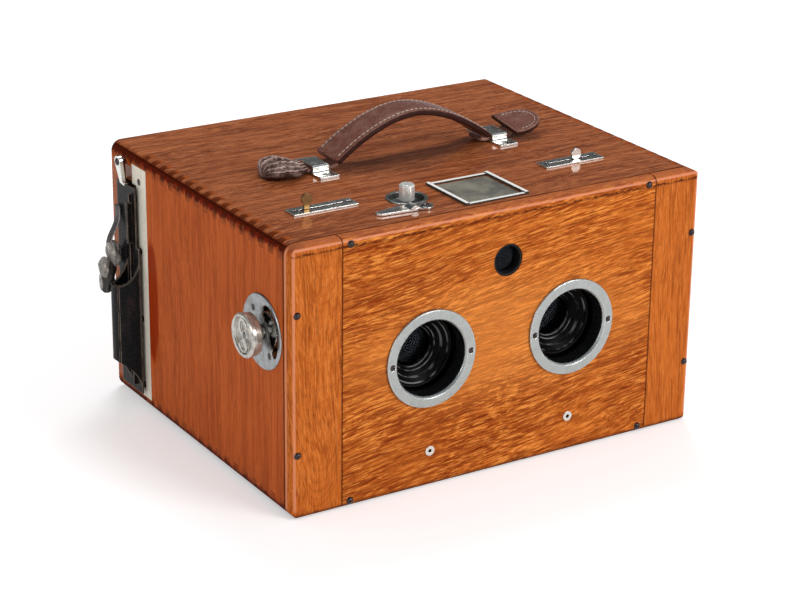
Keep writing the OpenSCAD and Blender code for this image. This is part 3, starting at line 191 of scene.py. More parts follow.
# %% Shader groups
def new_group(name, inputs, outputs):
    """An empty shader group, and the node with its inputs. Its sockets are given as names under their kind."""
    group = bpy.data.node_groups.new(name, "ShaderNodeTree")
    for in_out, sockets in (("INPUT", inputs), ("OUTPUT", outputs)):
        for kind, labels in sockets.items():
            for label in labels:
                group.interface.new_socket(name=label, in_out=in_out, socket_type="NodeSocket" + kind)
    print("group:", name, inputs)
    return group, Node(group, "NodeGroupInput")

# %% [markdown]
# The light is that of a plain studio: a big soft lamp in front on the right, weaker ones on the left and above,
# and a pale room all round, which is the world shader. Rays from the camera see it white. Rays off varnish or metal
# see it darker towards the top and the back, as in a real room, so that nickel gets contrast and the polish on the
# top doesn't look milky. All other rays see the level that lights the object.

# %% Room
def seen_rays(tree):
    """1 for rays from the camera, and 1 for those and for rays off or through a shiny surface."""
    ray = Node(tree, "ShaderNodeLightPath")
    off_shine = calc("MAXIMUM", ray["Is Glossy Ray"], ray["Is Transmission Ray"])
    return ray["Is Camera Ray"], calc("MAXIMUM", ray["Is Camera Ray"], off_shine)


world = bpy.data.worlds.new("studio")
bpy.context.scene.world = world
world.use_nodes = True
sky = world.node_tree
sky.nodes.clear()
_, backwards, upwards = split(Node(sky, "ShaderNodeTexCoord")["Generated"])
room = mix(fade(upwards, 0.1, 0.9), (0.85, 0.86, 0.88), (0.35, 0.36, 0.38))
at_back = fade(backwards, 0.0, 0.7) * fade(upwards, 0.02, 0.16)
room = mix(at_back * 0.95, room, (0.035, 0.045, 0.048))
direct, shiny = seen_rays(sky)
colour = mix(shiny, (0.50, 0.50, 0.51), mix(direct, room, (1, 1, 1)))
back = Node(sky, "ShaderNodeBackground", {"Color": colour, "Strength": 1.0})
Node(sky, "ShaderNodeOutputWorld", {"Surface": back[0]})
print("room:", len(sky.nodes), "nodes")

# %% Lamps
def soft_lamp(name, place, target, size, watts):
    """A square area lamp that faces a target."""
    data = bpy.data.lights.new(name, "AREA")
    data.shape, data.size, data.energy = "SQUARE", size, watts
    lamp = add_to_scene(name, data)
    lamp.location = place
    lamp.rotation_mode = "QUATERNION"
    lamp.rotation_quaternion = (Vector(target) - Vector(place)).to_track_quat("-Z", "Y")


soft_lamp("front_lamp", (0.75, -1.55, 0.95), (0, -0.05, 0.07), 0.9, 17.0)
soft_lamp("left_lamp", (-1.9, -0.35, 0.9), (0, 0, 0.07), 0.8, 7.0)
soft_lamp("top_lamp", (0.35, 0.65, 1.35), (0, 0, 0.1), 0.45, 6.5)

# %% [markdown]
# The floor is a large pale sheet. Under this light it would render light grey, so it gives off a little light of
# its own, but only to rays from the camera or off a shiny surface. Its diffuse part still carries the shadow.

# %% Floor
looks = {}


def new_material(name):
    """A material with an empty tree, kept in looks. The tree is what the caller gets."""
    looks[name] = look = bpy.data.materials.new(name)
    look.use_nodes = True
    look.node_tree.nodes.clear()
    print("look:", name)
    return look.node_tree


tree = new_material("pale_floor")
own = Node(tree, "ShaderNodeEmission", {"Color": (1, 1, 1), "Strength": seen_rays(tree)[1] * 0.36})
paper = Node(tree, "ShaderNodeBsdfDiffuse", {"Color": (0.85, 0.85, 0.85)})
both = Node(tree, "ShaderNodeAddShader", {0: paper[0], 1: own[0]})
Node(tree, "ShaderNodeOutputMaterial", {"Surface": both[0]})
floor_mesh = bpy.data.meshes.new("floor")
floor_mesh.from_pydata([(-4, -4, 0), (4, -4, 0), (4, 4, 0), (-4, 4, 0)], [], [(0, 1, 2, 3)])
floor_mesh.materials.append(looks["pale_floor"])
floor = add_to_scene("floor", floor_mesh)

# %% [markdown]
# Mahogany has long fine streaks, dark pores like short pencil strokes, and often a figure: a ripple of flecks that
# catches the light. All of them are noise stretched along the grain. The group below takes a vector in millimetres
# whose X runs with the grain, so it serves every board. A slow noise first bends the vector a little, which keeps
# the streaks from being ruler-straight. A board cut across the rings shows arches: thin dark lines where
# along - 0.08 * across^2, made uneven by the same noise, is a whole number of rings.

# %% Wood grain group
ring_width = 5.2
grain_colours, grain_amounts = ["Light", "Dark", "Pore", "Glint"], ["Streaks", "Pores", "Flecks", "Arches"]
grain_group, given = new_group("wood_grain", {"Vector": ["Vector"], "Color": grain_colours, "Float": grain_amounts},
                               {"Color": ["Color"], "Float": ["Pores", "Height"]})
slow = cloud(given["Vector"], (0.010, 0.025, 0.025), 1.0)
sway = (slow - 0.5) * 14.0
bent = vector_calc("ADD", given["Vector"], Node(grain_group, "ShaderNodeCombineXYZ", {1: sway, 2: sway})[0])
bands = cloud(bent, (0.004, 0.07, 0.07), 2.0)
streaks = cloud(bent, (0.014, 0.30, 0.30), 5.0, 0.62)
fine = cloud(bent, (0.10, 1.9, 1.9), 3.0)
tone = fade(bands, 0.35, 0.65) * 0.20 + fade(streaks, 0.36, 0.66) * given["Streaks"] + (fine - 0.5) * 1.7
along, _, across = split(bent)
rings = (along - across ** 2.0 * 0.08 + slow * 95.0 + streaks * 5.0) / ring_width
arches = fade(abs(calc("FRACT", rings) - 0.5), 0.30, 0.5) * given["Arches"]
tone = tone + arches * fade(slow, 0.3, 0.7, 0.4, 1.0)
pores = fade(cloud(bent, (0.16, 2.4, 2.4), 2.0), 0.60, 0.72) * given["Pores"]
tilted = Node(grain_group, "ShaderNodeMapping", {"Vector": bent, "Rotation": (0.0, math.radians(3.0), 0.0)})[0]
ripple = cloud(tilted, (0.10, 1.10, 1.10), 4.0, 0.66, 0.6)
long_lines = fade(cloud(tilted, (0.030, 0.80, 0.80), 3.0, 0.6, 0.5), 0.56, 0.60) * 0.55
patch = fade(cloud(given["Vector"], (0.02, 0.035, 0.035), 1.0), 0.35, 0.62, 0.55, 1.0)
fleck = fade(ripple, 0.525, 0.56) * patch * given["Flecks"]
shine = fade(ripple, 0.47, 0.40) * patch * given["Flecks"]
wood = layers(mix(tone, given["Light"], given["Dark"]),
              (shine * 0.75, given["Glint"]), (fleck * 0.9, given["Dark"]),
              (long_lines * given["Flecks"], given["Pore"]), (pores, given["Pore"]))
Node(grain_group, "NodeGroupOutput", {"Color": wood, "Pores": pores, "Height": 1.0 - (pores * 0.6 + fleck * 0.5)})

# %% [markdown]
# The case is finger-jointed. The ends of the fingers are end grain, which soaks up stain and goes dark, and a thin
# dark line of glue runs round each. A surface that faces along the grain is end grain, so the group compares the
# two directions. The glue lines come from the depth alone, since the fingers have one pitch, and are drawn only
# within a board's thickness of the long edges.
#
# The other outputs are masks too. Edge darkens the long edges, less on faces that look up, Dash is the nearly
# black outer ends of the fingers and the line on the arris itself, and Shade band the red-brown strip below it.
# Edge and Shade band are painted shade on the rounded long edges. Seam is the two seams of the front panel, Panel
# joint the joint behind that panel, Lip an irregular line below its top edge and a darker strip along its foot.
# Arris highlight is its pale arrises facing nearly to the front and a line on its rear arris, which are painted
# highlights, and Upward what faces up.

# %% Joint and edge group
case_w, case_d, case_h, board_t = 0.240, 0.192, 0.140, 0.008
panel_t, end_piece_w = 0.0072, 0.028
panel_back = case_d / 2 - panel_t
finger_pitch = (case_d - panel_t) / 39
joint_group, given = new_group(
    "joints_and_edges", {"Vector": ["Position", "Normal", "Grain"]},
    {"Float": ["End grain", "Dash", "Glue", "Edge", "Seam", "Panel joint", "Lip", "Arris highlight", "Upward", "Shade band"]})
place_x, place_y, place_z = split(given["Position"])
_, faces_y, faces_z = split(given["Normal"])
upward = fade(faces_z, 0.5, 0.9)
from_side = case_w / 2 - abs(place_x)
from_floor = calc("MINIMUM", place_z, case_h - place_z)
corner = calc("MAXIMUM", from_side, from_floor)
uneven = cloud(given["Position"], 320.0) - 0.5
ragged_corner = corner + uneven * 0.007
behind_panel = fade(place_y, -0.0890, -0.0887)
print("fingers every", round(finger_pitch / MM, 2), "mm")

# %% Masks of the fingers and long edges
near = fade(corner, board_t - 0.0001, board_t + 0.0002, 1.0, 0.0)
in_finger = calc("FRACT", (place_y + panel_back) / finger_pitch)
glue = fade(abs(in_finger - 0.5), 0.44, 0.475) * near * behind_panel
cut = fade(abs(vector_calc("DOT_PRODUCT", given["Normal"], given["Grain"])), 0.35, 0.8) * near
dash = cut * fade(ragged_corner, 0.0040, 0.0068, 0.75, 0.0)
arris = thin_line(from_side - (from_floor + uneven * 0.0012), 0.0007, 0.0015) * fade(corner, 0.003, 0.004, 1.0, 0.0)
# Painted shade: a red-brown strip below the rounded long edges, on faces that don't look up.
shade_band = fade(ragged_corner, 0.0030, 0.0052, 1.0, 0.0) * (1.0 - upward)

# %% Masks of the front panel
lip = thin_line(case_h - place_z + uneven * 0.003 - 0.0046, 0.0003, 0.0009)
lip = lip * fade(faces_y, -0.9, -0.5, 1.0, 0.0) * fade(uneven, -0.15, 0.1, 0.35, 1.0)
# Darker towards the very bottom of the panel.
foot = fade(place_z + uneven * 0.004, 0.0008, 0.0036, 0.9, 0.0)
forwards = abs(faces_y)
# Painted highlights on the front panel: its arrises where they face nearly to the front, and a line on its rear
# arris.
arris_highlight = fade(forwards, 0.72, 0.86) * fade(forwards, 0.95, 0.99, 1.0, 0.0)
rear_arris_highlight = thin_line(place_y + (panel_back + 0.0019), 0.0006, 0.0013) * (1.0 - upward)
Node(joint_group, "NodeGroupOutput", {
    "End grain": cut,
    "Dash": calc("MAXIMUM", dash, arris) * behind_panel,
    "Glue": glue * fade(corner, 0.004, 0.0075, 1.0, 0.4),
    "Edge": fade(ragged_corner + upward * 0.0030, 0.0032, 0.0064, 1.0, 0.0),
    "Seam": thin_line(from_side - end_piece_w, 0.00025, 0.0006),
    "Panel joint": thin_line(place_y + panel_back, 0.0003, 0.0009),
    "Lip": calc("MAXIMUM", lip, foot),
    "Arris highlight": calc("MAXIMUM", arris_highlight, rear_arris_highlight) * fade(place_z, 0.003, 0.006),
    "Upward": upward,
    "Shade band": shade_band * behind_panel})
print("joints and edges:", len(joint_group.nodes), "nodes")

# %% [markdown]
# French polish lies on the wood as a clear skin, for which the Principled shader has a coat: the wood below is
# matt and coloured, and the coat is smooth and mirrors the room. A long soft wave in the normal keeps the
# reflections from being as perfect as in glass. For upright boards the vector is turned by a quarter about Y, so
# that its X runs with the grain. A soft patch can be laid over a board: on the top it is a painted shadow under the
# handle, across the middle of the front a painted pool of light, and on the left side a dark red stain.

# %% Wood materials
def finish_material(tree, bump, surface):
    """A Principled shader whose normal comes from a Bump node. bump and surface give the sockets of the two."""
    shader = Node(tree, "ShaderNodeBsdfPrincipled", {**surface, "Normal": Node(tree, "ShaderNodeBump", bump)[0]})
    Node(tree, "ShaderNodeOutputMaterial", {"Surface": shader[0]})


def wood_material(name, upright, colours, amounts, shift, coat, coat_roughness, edge_colour=(0.10, 0.012, 0.004),
                  edge_amount=0.5, cut_colour=(0.2, 0.045, 0.015), stain_and_painted_light=None, panel=False, slope=0.0):
    """Grain, joints and edges under a coat of polish. slope turns the grain of a board by some degrees.

    colours are light, dark, pore and glint. amounts are those of streaks, pores, flecks and arches. A patch can be
    added, which is a real stain on one board and painted light and shade on others: its middle, its size, its
    colour, its amount and how soft its border is. panel is true on the front panel, which has seams, a dark line
    below its top edge, arrises painted pale as highlights, and an up-facing top edge painted brown-pink as a
    painted reflection.
    """
    tree = new_material(name)
    position = Node(tree, "ShaderNodeTexCoord")
    turned = Node(tree, "ShaderNodeMapping", {
        "Vector": position["Object"], "Location": shift, "Scale": 1000.0,
        "Rotation": (0.0, math.radians(90.0 if upright else slope), 0.0)})[0]
    values = dict(zip(grain_colours + grain_amounts, colours + amounts))
    grain = Node(tree, "ShaderNodeGroup", {"Vector": turned, **values}, node_tree=grain_group)
    joints = Node(tree, "ShaderNodeGroup", {
        "Position": position["Object"], "Normal": position["Normal"],
        "Grain": (0.0, 0.0, 1.0) if upright else (1.0, 0.0, 0.0)}, node_tree=joint_group)
    # Darker near the long edges: painted shade on the roundings.
    wood = mix(joints["Edge"] * edge_amount, grain["Color"], edge_colour)
    # The patch is a stain on the left side, a painted shadow on the top and a painted pool of light on the front.
    if stain_and_painted_light:
        middle, size, tint, amount, softness = stain_and_painted_light
        off = vector_calc("DIVIDE", vector_calc("SUBTRACT", position["Object"], middle), size)
        ragged = vector_calc("LENGTH", off) + cloud(turned, (0.03, 0.2, 0.2)) * 0.5
        wood = mix(fade(ragged, 1.22 + softness, 1.22 - softness, 0.0, amount), wood, tint)
    # The band's red-brown is painted shade; end grain, dashes and glue are the wood's own.
    wood = layers(wood, (joints["End grain"] * 0.7, cut_colour), (joints["Shade band"] * 0.75, (0.15, 0.010, 0.003)),
                  (joints["Dash"] * 0.9, (0.035, 0.004, 0.002)), (joints["Glue"] * 0.6, (0.03, 0.005, 0.003)))
    if panel:
        lines = calc("MAXIMUM", joints["Seam"], joints["Lip"])
        # The up-facing top edge of the panel is painted brown-pink: a painted reflection.
        wood = layers(wood, (joints["Upward"] * 0.6, (0.36, 0.115, 0.055)),
                      # Pale painted highlights on the arrises.
                      (joints["Arris highlight"] * 0.7, (0.80, 0.30, 0.16)), (lines * 0.8, (0.05, 0.008, 0.003)))
    wood = mix(joints["Panel joint"] * 0.7, wood, (0.05, 0.009, 0.004))
    wave = cloud(turned, (0.02, 0.08, 0.08), 2.0)
    bare = calc("MAXIMUM", joints["End grain"], joints["Dash"])
    finish_material(
        tree, {"Height": grain["Height"] + wave * 2.0, "Strength": 0.25, "Distance": 0.00012},
        {"Base Color": wood, "Roughness": grain["Pores"] * 0.3 + 0.38, "Specular IOR Level": 0.0,
         "Coat Weight": fade(bare, 0.0, 0.8, coat, 0.1 * coat), "Coat Roughness": coat_roughness, "Coat IOR": 1.45})

# %% Woods of the case
# The dark patch on the top, under the handle, is a painted shadow of the handle.
wood_material(
    "top_wood", False, ((0.46, 0.140, 0.048), (0.17, 0.040, 0.015), (0.050, 0.012, 0.006), (0.62, 0.25, 0.11)),
    (0.75, 0.65, 0.60, 0.0), (0.0, 0.0, 0.0), 0.6, 0.07, cut_colour=(0.36, 0.068, 0.014),
    stain_and_painted_light=((0.002, -0.0045, 0.140), (0.040, 0.0085, 0.05), (0.045, 0.014, 0.008), 0.55, 0.45))
wood_material(
    "side_wood", True, ((0.58, 0.125, 0.028), (0.32, 0.057, 0.011), (0.10, 0.016, 0.005), (0.62, 0.16, 0.04)),
    (0.55, 0.40, 0.15, 0.0), (31.0, 17.0, 5.0), 0.08, 0.2, edge_colour=(0.12, 0.009, 0.002), edge_amount=0.9,
    cut_colour=(0.24, 0.062, 0.020),
    stain_and_painted_light=((-0.120, 0.0525, 0.064), (0.05, 0.0085, 0.034), (0.26, 0.020, 0.002), 0.85, 0.1))
# The brighter orange band across the middle of the front panel is a painted pool of light.
wood_material(
    "front_wood", False, ((0.66, 0.178, 0.025), (0.27, 0.042, 0.005), (0.15, 0.014, 0.002), (0.96, 0.36, 0.070)),
    (0.45, 0.60, 1.0, 0.0), (11.0, 3.0, 40.0), 0.10, 0.18, edge_amount=0.2,
    stain_and_painted_light=((0.0, -0.096, 0.072), (0.075, 1.0, 0.030), (0.92, 0.33, 0.070), 0.35, 0.5), panel=True, slope=5.0)
wood_material(
    "end_wood", True, ((0.66, 0.170, 0.024), (0.38, 0.078, 0.010), (0.16, 0.03, 0.006), (0.75, 0.24, 0.05)),
    (0.30, 0.60, 0.70, 0.45), (0.0, 23.0, -101.0), 0.12, 0.15, edge_colour=(0.30, 0.03, 0.006), edge_amount=0.3,
    panel=True)
wood_material(
    "back_wood", False, ((0.45, 0.11, 0.030), (0.25, 0.05, 0.014), (0.08, 0.016, 0.006), (0.55, 0.18, 0.06)),
    (0.55, 0.40, 0.35, 0.0), (50.0, 8.0, 19.0), 0.4, 0.15, edge_amount=0.3)

# %% [markdown]
# Nickel plate is pale, slightly warm metal. After a century it is satin, with cloudy tarnish, tiny dark pits and
# fine scratches from polishing. A group makes that film, so nickel, brass and steel only differ in their values.
#
# Edges stay bright, because hands and cloths keep rubbing them. Where a metal is given an edge colour far paler
# than itself, on the knob, the dial plate, the release cup and knob screw and the lens rings, that pale edge is a
# painted highlight. The Bevel node gives the normal of a rounded copy of the surface. Where it differs from the
# true normal there is an edge, so one node gives both a soft edge and its mask.

# %% Metal film group
film_outputs = {"Color": ["Color"], "Float": ["Roughness", "Height"]}
film_group, given = new_group(
    "metal_film", {"Vector": ["Vector"], "Color": ["Clean", "Tarnish"], "Float": ["Amount", "Shine"]}, film_outputs)
blotches = fade(cloud(given["Vector"], 0.25, 5.0, 0.6), 0.42, 0.72)
pits = fade(cloud(given["Vector"], 1.4, 2.0), 0.68, 0.76)
scratches = cloud(given["Vector"], (0.3, 6.0, 6.0), 2.0)
dull = (blotches + pits * 0.6) * given["Amount"]
Node(film_group, "NodeGroupOutput", {
    "Color": mix(dull, given["Clean"], given["Tarnish"]),
    "Roughness": given["Shine"] + dull * 0.35 + scratches * 0.08, "Height": scratches - pits * 0.8})


def edge_normal_and_mask(tree, radius):
    """The normal of a rounded copy of the surface, and a mask that is 1 where it leaves the true one: at edges."""
    rounded = Node(tree, "ShaderNodeBevel", {"Radius": radius}, samples=6)[0]
    match = vector_calc("DOT_PRODUCT", rounded, Node(tree, "ShaderNodeNewGeometry")["Normal"])
    return rounded, fade(match, 0.82, 0.98, 1.0, 0.0)


def in_mm(position):
    """The piece's own coordinates in millimetres, from a Texture Coordinate node."""
    return vector_calc("MULTIPLY", position["Object"], 1000.0)

# %% Metal materials
def metal_material(name, clean, tarnish, amount, shine, black_behind=None, satin=0.0, edge=None, shaded_flank=None,
                   edge_radius=0.0004):
    """Bare metal under its film of tarnish, with polished edges.

    Past the depth black_behind it is painted black. satin makes it matt. edge is the colour of the edges, a painted
    highlight where it is much paler than the metal, and the flank colour is that of the upright faces, painted
    shade.
    """
    tree = new_material(name)
    position = Node(tree, "ShaderNodeTexCoord")
    film = Node(tree, "ShaderNodeGroup", {"Vector": in_mm(position), "Clean": clean, "Tarnish": tarnish,
                                          "Amount": amount, "Shine": shine}, node_tree=film_group)
    rounded, worn_and_lit_edge = edge_normal_and_mask(tree, edge_radius)
    # Edges get the edge colour: clean metal where rubbed, and a painted highlight where a paler colour is given.
    colour, metallic = mix(worn_and_lit_edge, film["Color"], edge or clean), 1.0 - satin
    # Upright faces get the flank colour: painted shade.
    if shaded_flank:
        colour = mix(fade(split(position["Normal"])[2], 0.4, 0.8), shaded_flank, colour)
    if black_behind is not None:
        metallic = fade(split(position["Object"])[1], black_behind, black_behind + 0.0003, metallic, 0.0)
        colour = mix(metallic, (0.008, 0.008, 0.009), colour)
    finish_material(
        tree, {"Height": film["Height"], "Strength": 0.12, "Distance": 0.00004, "Normal": rounded},
        {"Base Color": colour, "Metallic": metallic, "Roughness": film["Roughness"], "Specular IOR Level": 0.2})

# %% Metals of the fittings
metal_material("nickel", (0.72, 0.72, 0.68), (0.44, 0.41, 0.36), 0.30, 0.16)
metal_material("bright_nickel", (0.90, 0.89, 0.84), (0.55, 0.51, 0.45), 0.25, 0.2)
metal_material("button_nickel", (0.88, 0.87, 0.82), (0.40, 0.36, 0.30), 0.35, 0.2, satin=0.45)
# The finder frame's upright faces are nearly black: painted shade under its white tops.
metal_material("frame_nickel", (0.97, 0.96, 0.92), (0.66, 0.62, 0.55), 0.20, 0.3, satin=0.85,
               shaded_flank=(0.06, 0.05, 0.04))
metal_material("strip_nickel", (0.82, 0.76, 0.64), (0.50, 0.44, 0.35), 0.30, 0.4, satin=0.75)
# The knob, the dial plate, the cup and screw and the lens rings get edge colours far paler than their metal:
# painted highlights on their edges.
metal_material("knob_nickel", (0.56, 0.54, 0.49), (0.16, 0.13, 0.10), 0.85, 0.16, satin=0.35,
               edge=(0.90, 0.88, 0.82))
metal_material("plate_nickel", (0.30, 0.32, 0.33), (0.20, 0.17, 0.14), 0.6, 0.22, edge=(0.85, 0.84, 0.80))
metal_material("dull_nickel", (0.17, 0.18, 0.17), (0.08, 0.075, 0.07), 0.6, 0.25, edge=(0.80, 0.79, 0.74))
metal_material("ring_nickel", (0.38, 0.40, 0.39), (0.28, 0.29, 0.27), 0.35, 0.2, black_behind=-0.0962,
               edge=(0.95, 0.95, 0.92), edge_radius=0.0007)
metal_material("brass", (0.62, 0.42, 0.17), (0.22, 0.12, 0.05), 0.55, 0.26)
metal_material("bronzed", (0.24, 0.14, 0.055), (0.09, 0.05, 0.025), 0.6, 0.3)
metal_material("blued_steel", (0.055, 0.045, 0.045), (0.03, 0.02, 0.018), 0.5, 0.17)
metal_material("dark_screw", (0.08, 0.07, 0.068), (0.03, 0.02, 0.018), 0.5, 0.22)
metal_material("spring_steel", (0.30, 0.32, 0.35), (0.12, 0.09, 0.07), 0.4, 0.25)
metal_material("mirror", (0.86, 0.88, 0.88), (0.5, 0.5, 0.45), 0.25, 0.04)

# %% [markdown]
# Black paint on metal and wood isn't black all over. Dust lies on it, and it is rubbed through to brown where hands
# and sliding parts touch it, most of all on edges. The group mixes the paint with what is under it by a worn mask,
# and the same mask changes the relief. The lens mounts also have turned edges, drawn as thin pale rings round each
# lens: painted highlights, and in part paint rubbed through to metal.

# %% Rubbed paint group
paint_group, given = new_group(
    "rubbed_paint", {"Vector": ["Vector"], "Color": ["Paint", "Under"], "Float": ["Wear", "Gloss"]}, film_outputs)
dust = fade(cloud(given["Vector"], 0.9, 3.0), 0.45, 0.75)
worn = fade(cloud(given["Vector"], (0.12, 0.12, 0.05), 6.0, 0.65), 0.50, 0.74) * given["Wear"]
Node(paint_group, "NodeGroupOutput", {
    "Color": layers(given["Paint"], (dust * 0.03, (0.30, 0.28, 0.25)), (worn, given["Under"])),
    "Roughness": given["Gloss"] + dust * 0.2, "Height": cloud(given["Vector"], 1.2, 3.0) - worn})

# %% Paint materials
lens_x, lens_z = 0.04175, 0.069


def paint_material(name, paint, under, wear, gloss, specular=0.3, ring_highlights=(), pale_edges=0.3,
                   edge_radius=0.0005):
    """Paint with dust and rubbed places and edges. The ring radii are turned edges round the lenses, painted pale:
    highlights, partly rubbed paint.
    """
    tree = new_material(name)
    position = Node(tree, "ShaderNodeTexCoord")
    place = in_mm(position)
    film = Node(tree, "ShaderNodeGroup", {"Vector": place, "Paint": paint, "Under": under, "Wear": wear,
                                          "Gloss": gloss}, node_tree=paint_group)
    rounded, worn_and_lit_edge = edge_normal_and_mask(tree, edge_radius)
    chipped = fade(cloud(place, (0.25, 0.25, 0.12), 3.0), 0.35, 0.6, 0.35, 1.0)
    colour = mix(worn_and_lit_edge * chipped * pale_edges, film["Color"], (0.36, 0.27, 0.21))
    # Pale rings round the lenses: painted highlights on the turned edges, in part paint rubbed through to metal.
    if ring_highlights:
        aside, _, height = split(position["Object"])
        radius = calc("SQRT", (abs(aside) - lens_x) ** 2.0 + (height - lens_z) ** 2.0)
        rub_and_glint = fade(cloud(place, 0.10, 3.0), 0.42, 0.62)
        for ring in ring_highlights:
            colour = mix(thin_line(radius - ring, 0.0001, 0.0003) * rub_and_glint, colour, (0.30, 0.30, 0.29))
    finish_material(
        tree, {"Height": film["Height"], "Strength": 0.3, "Distance": 0.00008, "Normal": rounded},
        {"Base Color": colour, "Roughness": film["Roughness"], "Specular IOR Level": specular})

# %% Black paints
paint_material("lens_black", (0.002, 0.002, 0.0025), (0.015, 0.013, 0.012), 0.2, 0.3, specular=0.03,
               ring_highlights=(0.0187, 0.0172, 0.0148, 0.0122, 0.0107))
paint_material("inside_black", (0.005, 0.005, 0.005), (0.03, 0.022, 0.016), 0.2, 0.6, specular=0.15)
paint_material("magazine_black", (0.006, 0.006, 0.0065), (0.07, 0.04, 0.03), 0.35, 0.25, specular=0.06,
               pale_edges=1.2, edge_radius=0.0009)
paint_material("sheath_black", (0.03, 0.03, 0.032), (0.16, 0.15, 0.14), 0.5, 0.4)

# %% [markdown]
# Two kinds of glass are in the camera. The lenses and plates are clear and polished, and the lenses look dark
# because the inside of the camera is dark. The finder's screen is ground, so it scatters light and looks like
# grey-green mist. Clear glass is the Principled shader with full transmission. Over a white floor a real index of
# refraction would veil the lenses with its reflection, so theirs is low and tinted.

# %% Glass materials
def glass_material(name, colour, roughness, transmission, streak_colour, bend=1.5, glint=(1, 1, 1)):
    """Glass with a faint cloudiness in its colour. bend is its IOR, and glint the colour of what it mirrors."""
    tree = new_material(name)
    place = Node(tree, "ShaderNodeTexCoord")["Object"]
    haze = cloud(place, 90.0, 4.0)
    ground = roughness > 0.2
    finish_material(
        tree, {"Height": cloud(place, 4000.0, 2.0), "Strength": 0.2 if ground else 0.01, "Distance": 0.00004},
        {"Base Color": mix(fade(haze, 0.35, 0.7), colour, streak_colour),
         "Roughness": haze * (roughness * 0.4) + roughness, "IOR": bend, "Transmission Weight": transmission,
         "Specular Tint": glint})


glass_material("lens_glass", (0.80, 0.86, 0.92), 0.02, 1.0, (0.74, 0.80, 0.88), bend=1.2, glint=(0.5, 0.6, 0.75))
glass_material("plate_glass", (0.62, 0.72, 0.64), 0.08, 0.8, (0.55, 0.66, 0.58))
glass_material("ground_glass", (0.22, 0.20, 0.15), 0.42, 0.0, (0.085, 0.082, 0.065))

# %% [markdown]
# A finish is put on a CAD part through its object's material slot. The slot is linked to the object first, so that
# the mesh stays exactly as it was packed.

# %% Dress the CAD parts
dressing = {
    "top_wood": ["top_board", "bottom_board", "magazine_guide"],
    "side_wood": ["left_board", "right_board"],
    "front_wood": ["front_panel"],
    "end_wood": ["front_end_pieces"],
    "back_wood": ["rear_board"],
    "nickel": ["slot_plates", "handle_loops", "latch_hook", "time_catch", "eyelets", "winding_shaft", "guide_rods",
               "focus_slide"],
    "knob_nickel": ["winding_knob"],
    "strip_nickel": ["edge_plate"],
    "frame_nickel": ["finder_frame"],
    "bright_nickel": ["ratchet_wheel"],
    "button_nickel": ["release_button"],
    "plate_nickel": ["dial_plate"],
    "ring_nickel": ["lens_ring_left", "lens_ring_right"],
    "dull_nickel": ["release_cup", "knob_screw"],
    "brass": ["pinion", "cage_plate", "spring_barrel", "shutter_rack", "shutter_rails",
              "shaft_bracket", "trip_bearings", "stop_rails"],
    "bronzed": ["stop_slide", "trip_shaft"],
    "blued_steel": ["panel_screws", "ring_screws", "shutter_plate"],
    "dark_screw": ["fitting_screws"],
    "spring_steel": ["mainspring", "trip_spring", "pressure_spring"],
    "lens_black": ["lens_barrel_left", "lens_barrel_right"],
    "inside_black": ["lens_board", "shutter_board", "septum", "finder_box"],
    "magazine_black": ["magazine_case", "dark_slide"],
    "sheath_black": ["plate_sheaths"],
    "lens_glass": ["lens_glasses", "finder_lens"],
    "plate_glass": ["glass_plates"],
    "ground_glass": ["finder_glass"],
    "mirror": ["finder_mirror"],
}
for look_name, names in dressing.items():
    for name in names:
        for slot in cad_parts[name].material_slots:
            slot.link = "OBJECT"
            slot.material = looks[look_name]
print("dressed", sum(len(n) for n in dressing.values()), "of", len(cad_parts), "CAD parts")

# %% [markdown]
# Old leather has a net of fine creases between small cushions of skin, and it is rubbed pale on its edges and
# folds. The grip is reddish brown, its left tab nearly black. The cells of a Voronoi texture give the cushions: the
# distance to the nearest border is low in the creases. The meshes below carry a value named rim. The leather is
# made pale where it is 1, and has the dark dressing of a cut edge where it is -1. On the grip's upper arrises that
# pale is rubbed leather and a painted highlight; on the crests of the left tab and the folds and rims of the bag
# it is a painted highlight of their sheen.

# %% Leather group
leather_group, given = new_group(
    "leather_grain", {"Vector": ["Vector"], "Color": ["Skin", "Crease", "Rub and sheen"], "Float": ["Rim", "Cells"]},
    film_outputs)
cushions = Node(leather_group, "ShaderNodeTexVoronoi", {
    "Vector": vector_calc("MULTIPLY", given["Vector"], given["Cells"]), "Scale": 1.0}, feature="DISTANCE_TO_EDGE")
crease = fade(cushions["Distance"], 0.02, 0.16, 1.0, 0.0)
patches = fade(cloud(given["Vector"], 0.18, 4.0), 0.40, 0.70)
# Pale where rim is above 0: rubbed leather, and on the left tab and the bag a painted highlight.
rub_and_sheen = calc("MAXIMUM", given["Rim"], 0.0) * fade(patches, 0.0, 1.0, 0.55, 1.0)
dressed_edge = fade(given["Rim"], -0.9, -0.1, 0.85, 0.0)
Node(leather_group, "NodeGroupOutput", {
    "Color": layers(given["Skin"], (patches * 0.25, given["Rub and sheen"]), (rub_and_sheen, given["Rub and sheen"]),
                    (crease * 0.6, given["Crease"]), (dressed_edge, given["Crease"])),
    "Roughness": crease * 0.25 + 0.28, "Height": patches * 0.5 - crease})

# %% Leather materials
def leather_material(name, skin, crease_colour, rub_and_sheen_colour, cells_per_mm, depth, reflection=0.25):
    """Leather with its net of creases and paler rims."""
    tree = new_material(name)
    skin_grain = Node(tree, "ShaderNodeGroup", {
        "Vector": in_mm(Node(tree, "ShaderNodeTexCoord")), "Skin": skin, "Crease": crease_colour,
        "Rub and sheen": rub_and_sheen_colour, "Rim": Node(tree, "ShaderNodeAttribute", attribute_name="rim")["Fac"],
        "Cells": cells_per_mm}, node_tree=leather_group)
    finish_material(
        tree, {"Height": skin_grain["Height"], "Strength": 0.6, "Distance": depth},
        {"Base Color": skin_grain["Color"], "Roughness": skin_grain["Roughness"], "Specular IOR Level": reflection})


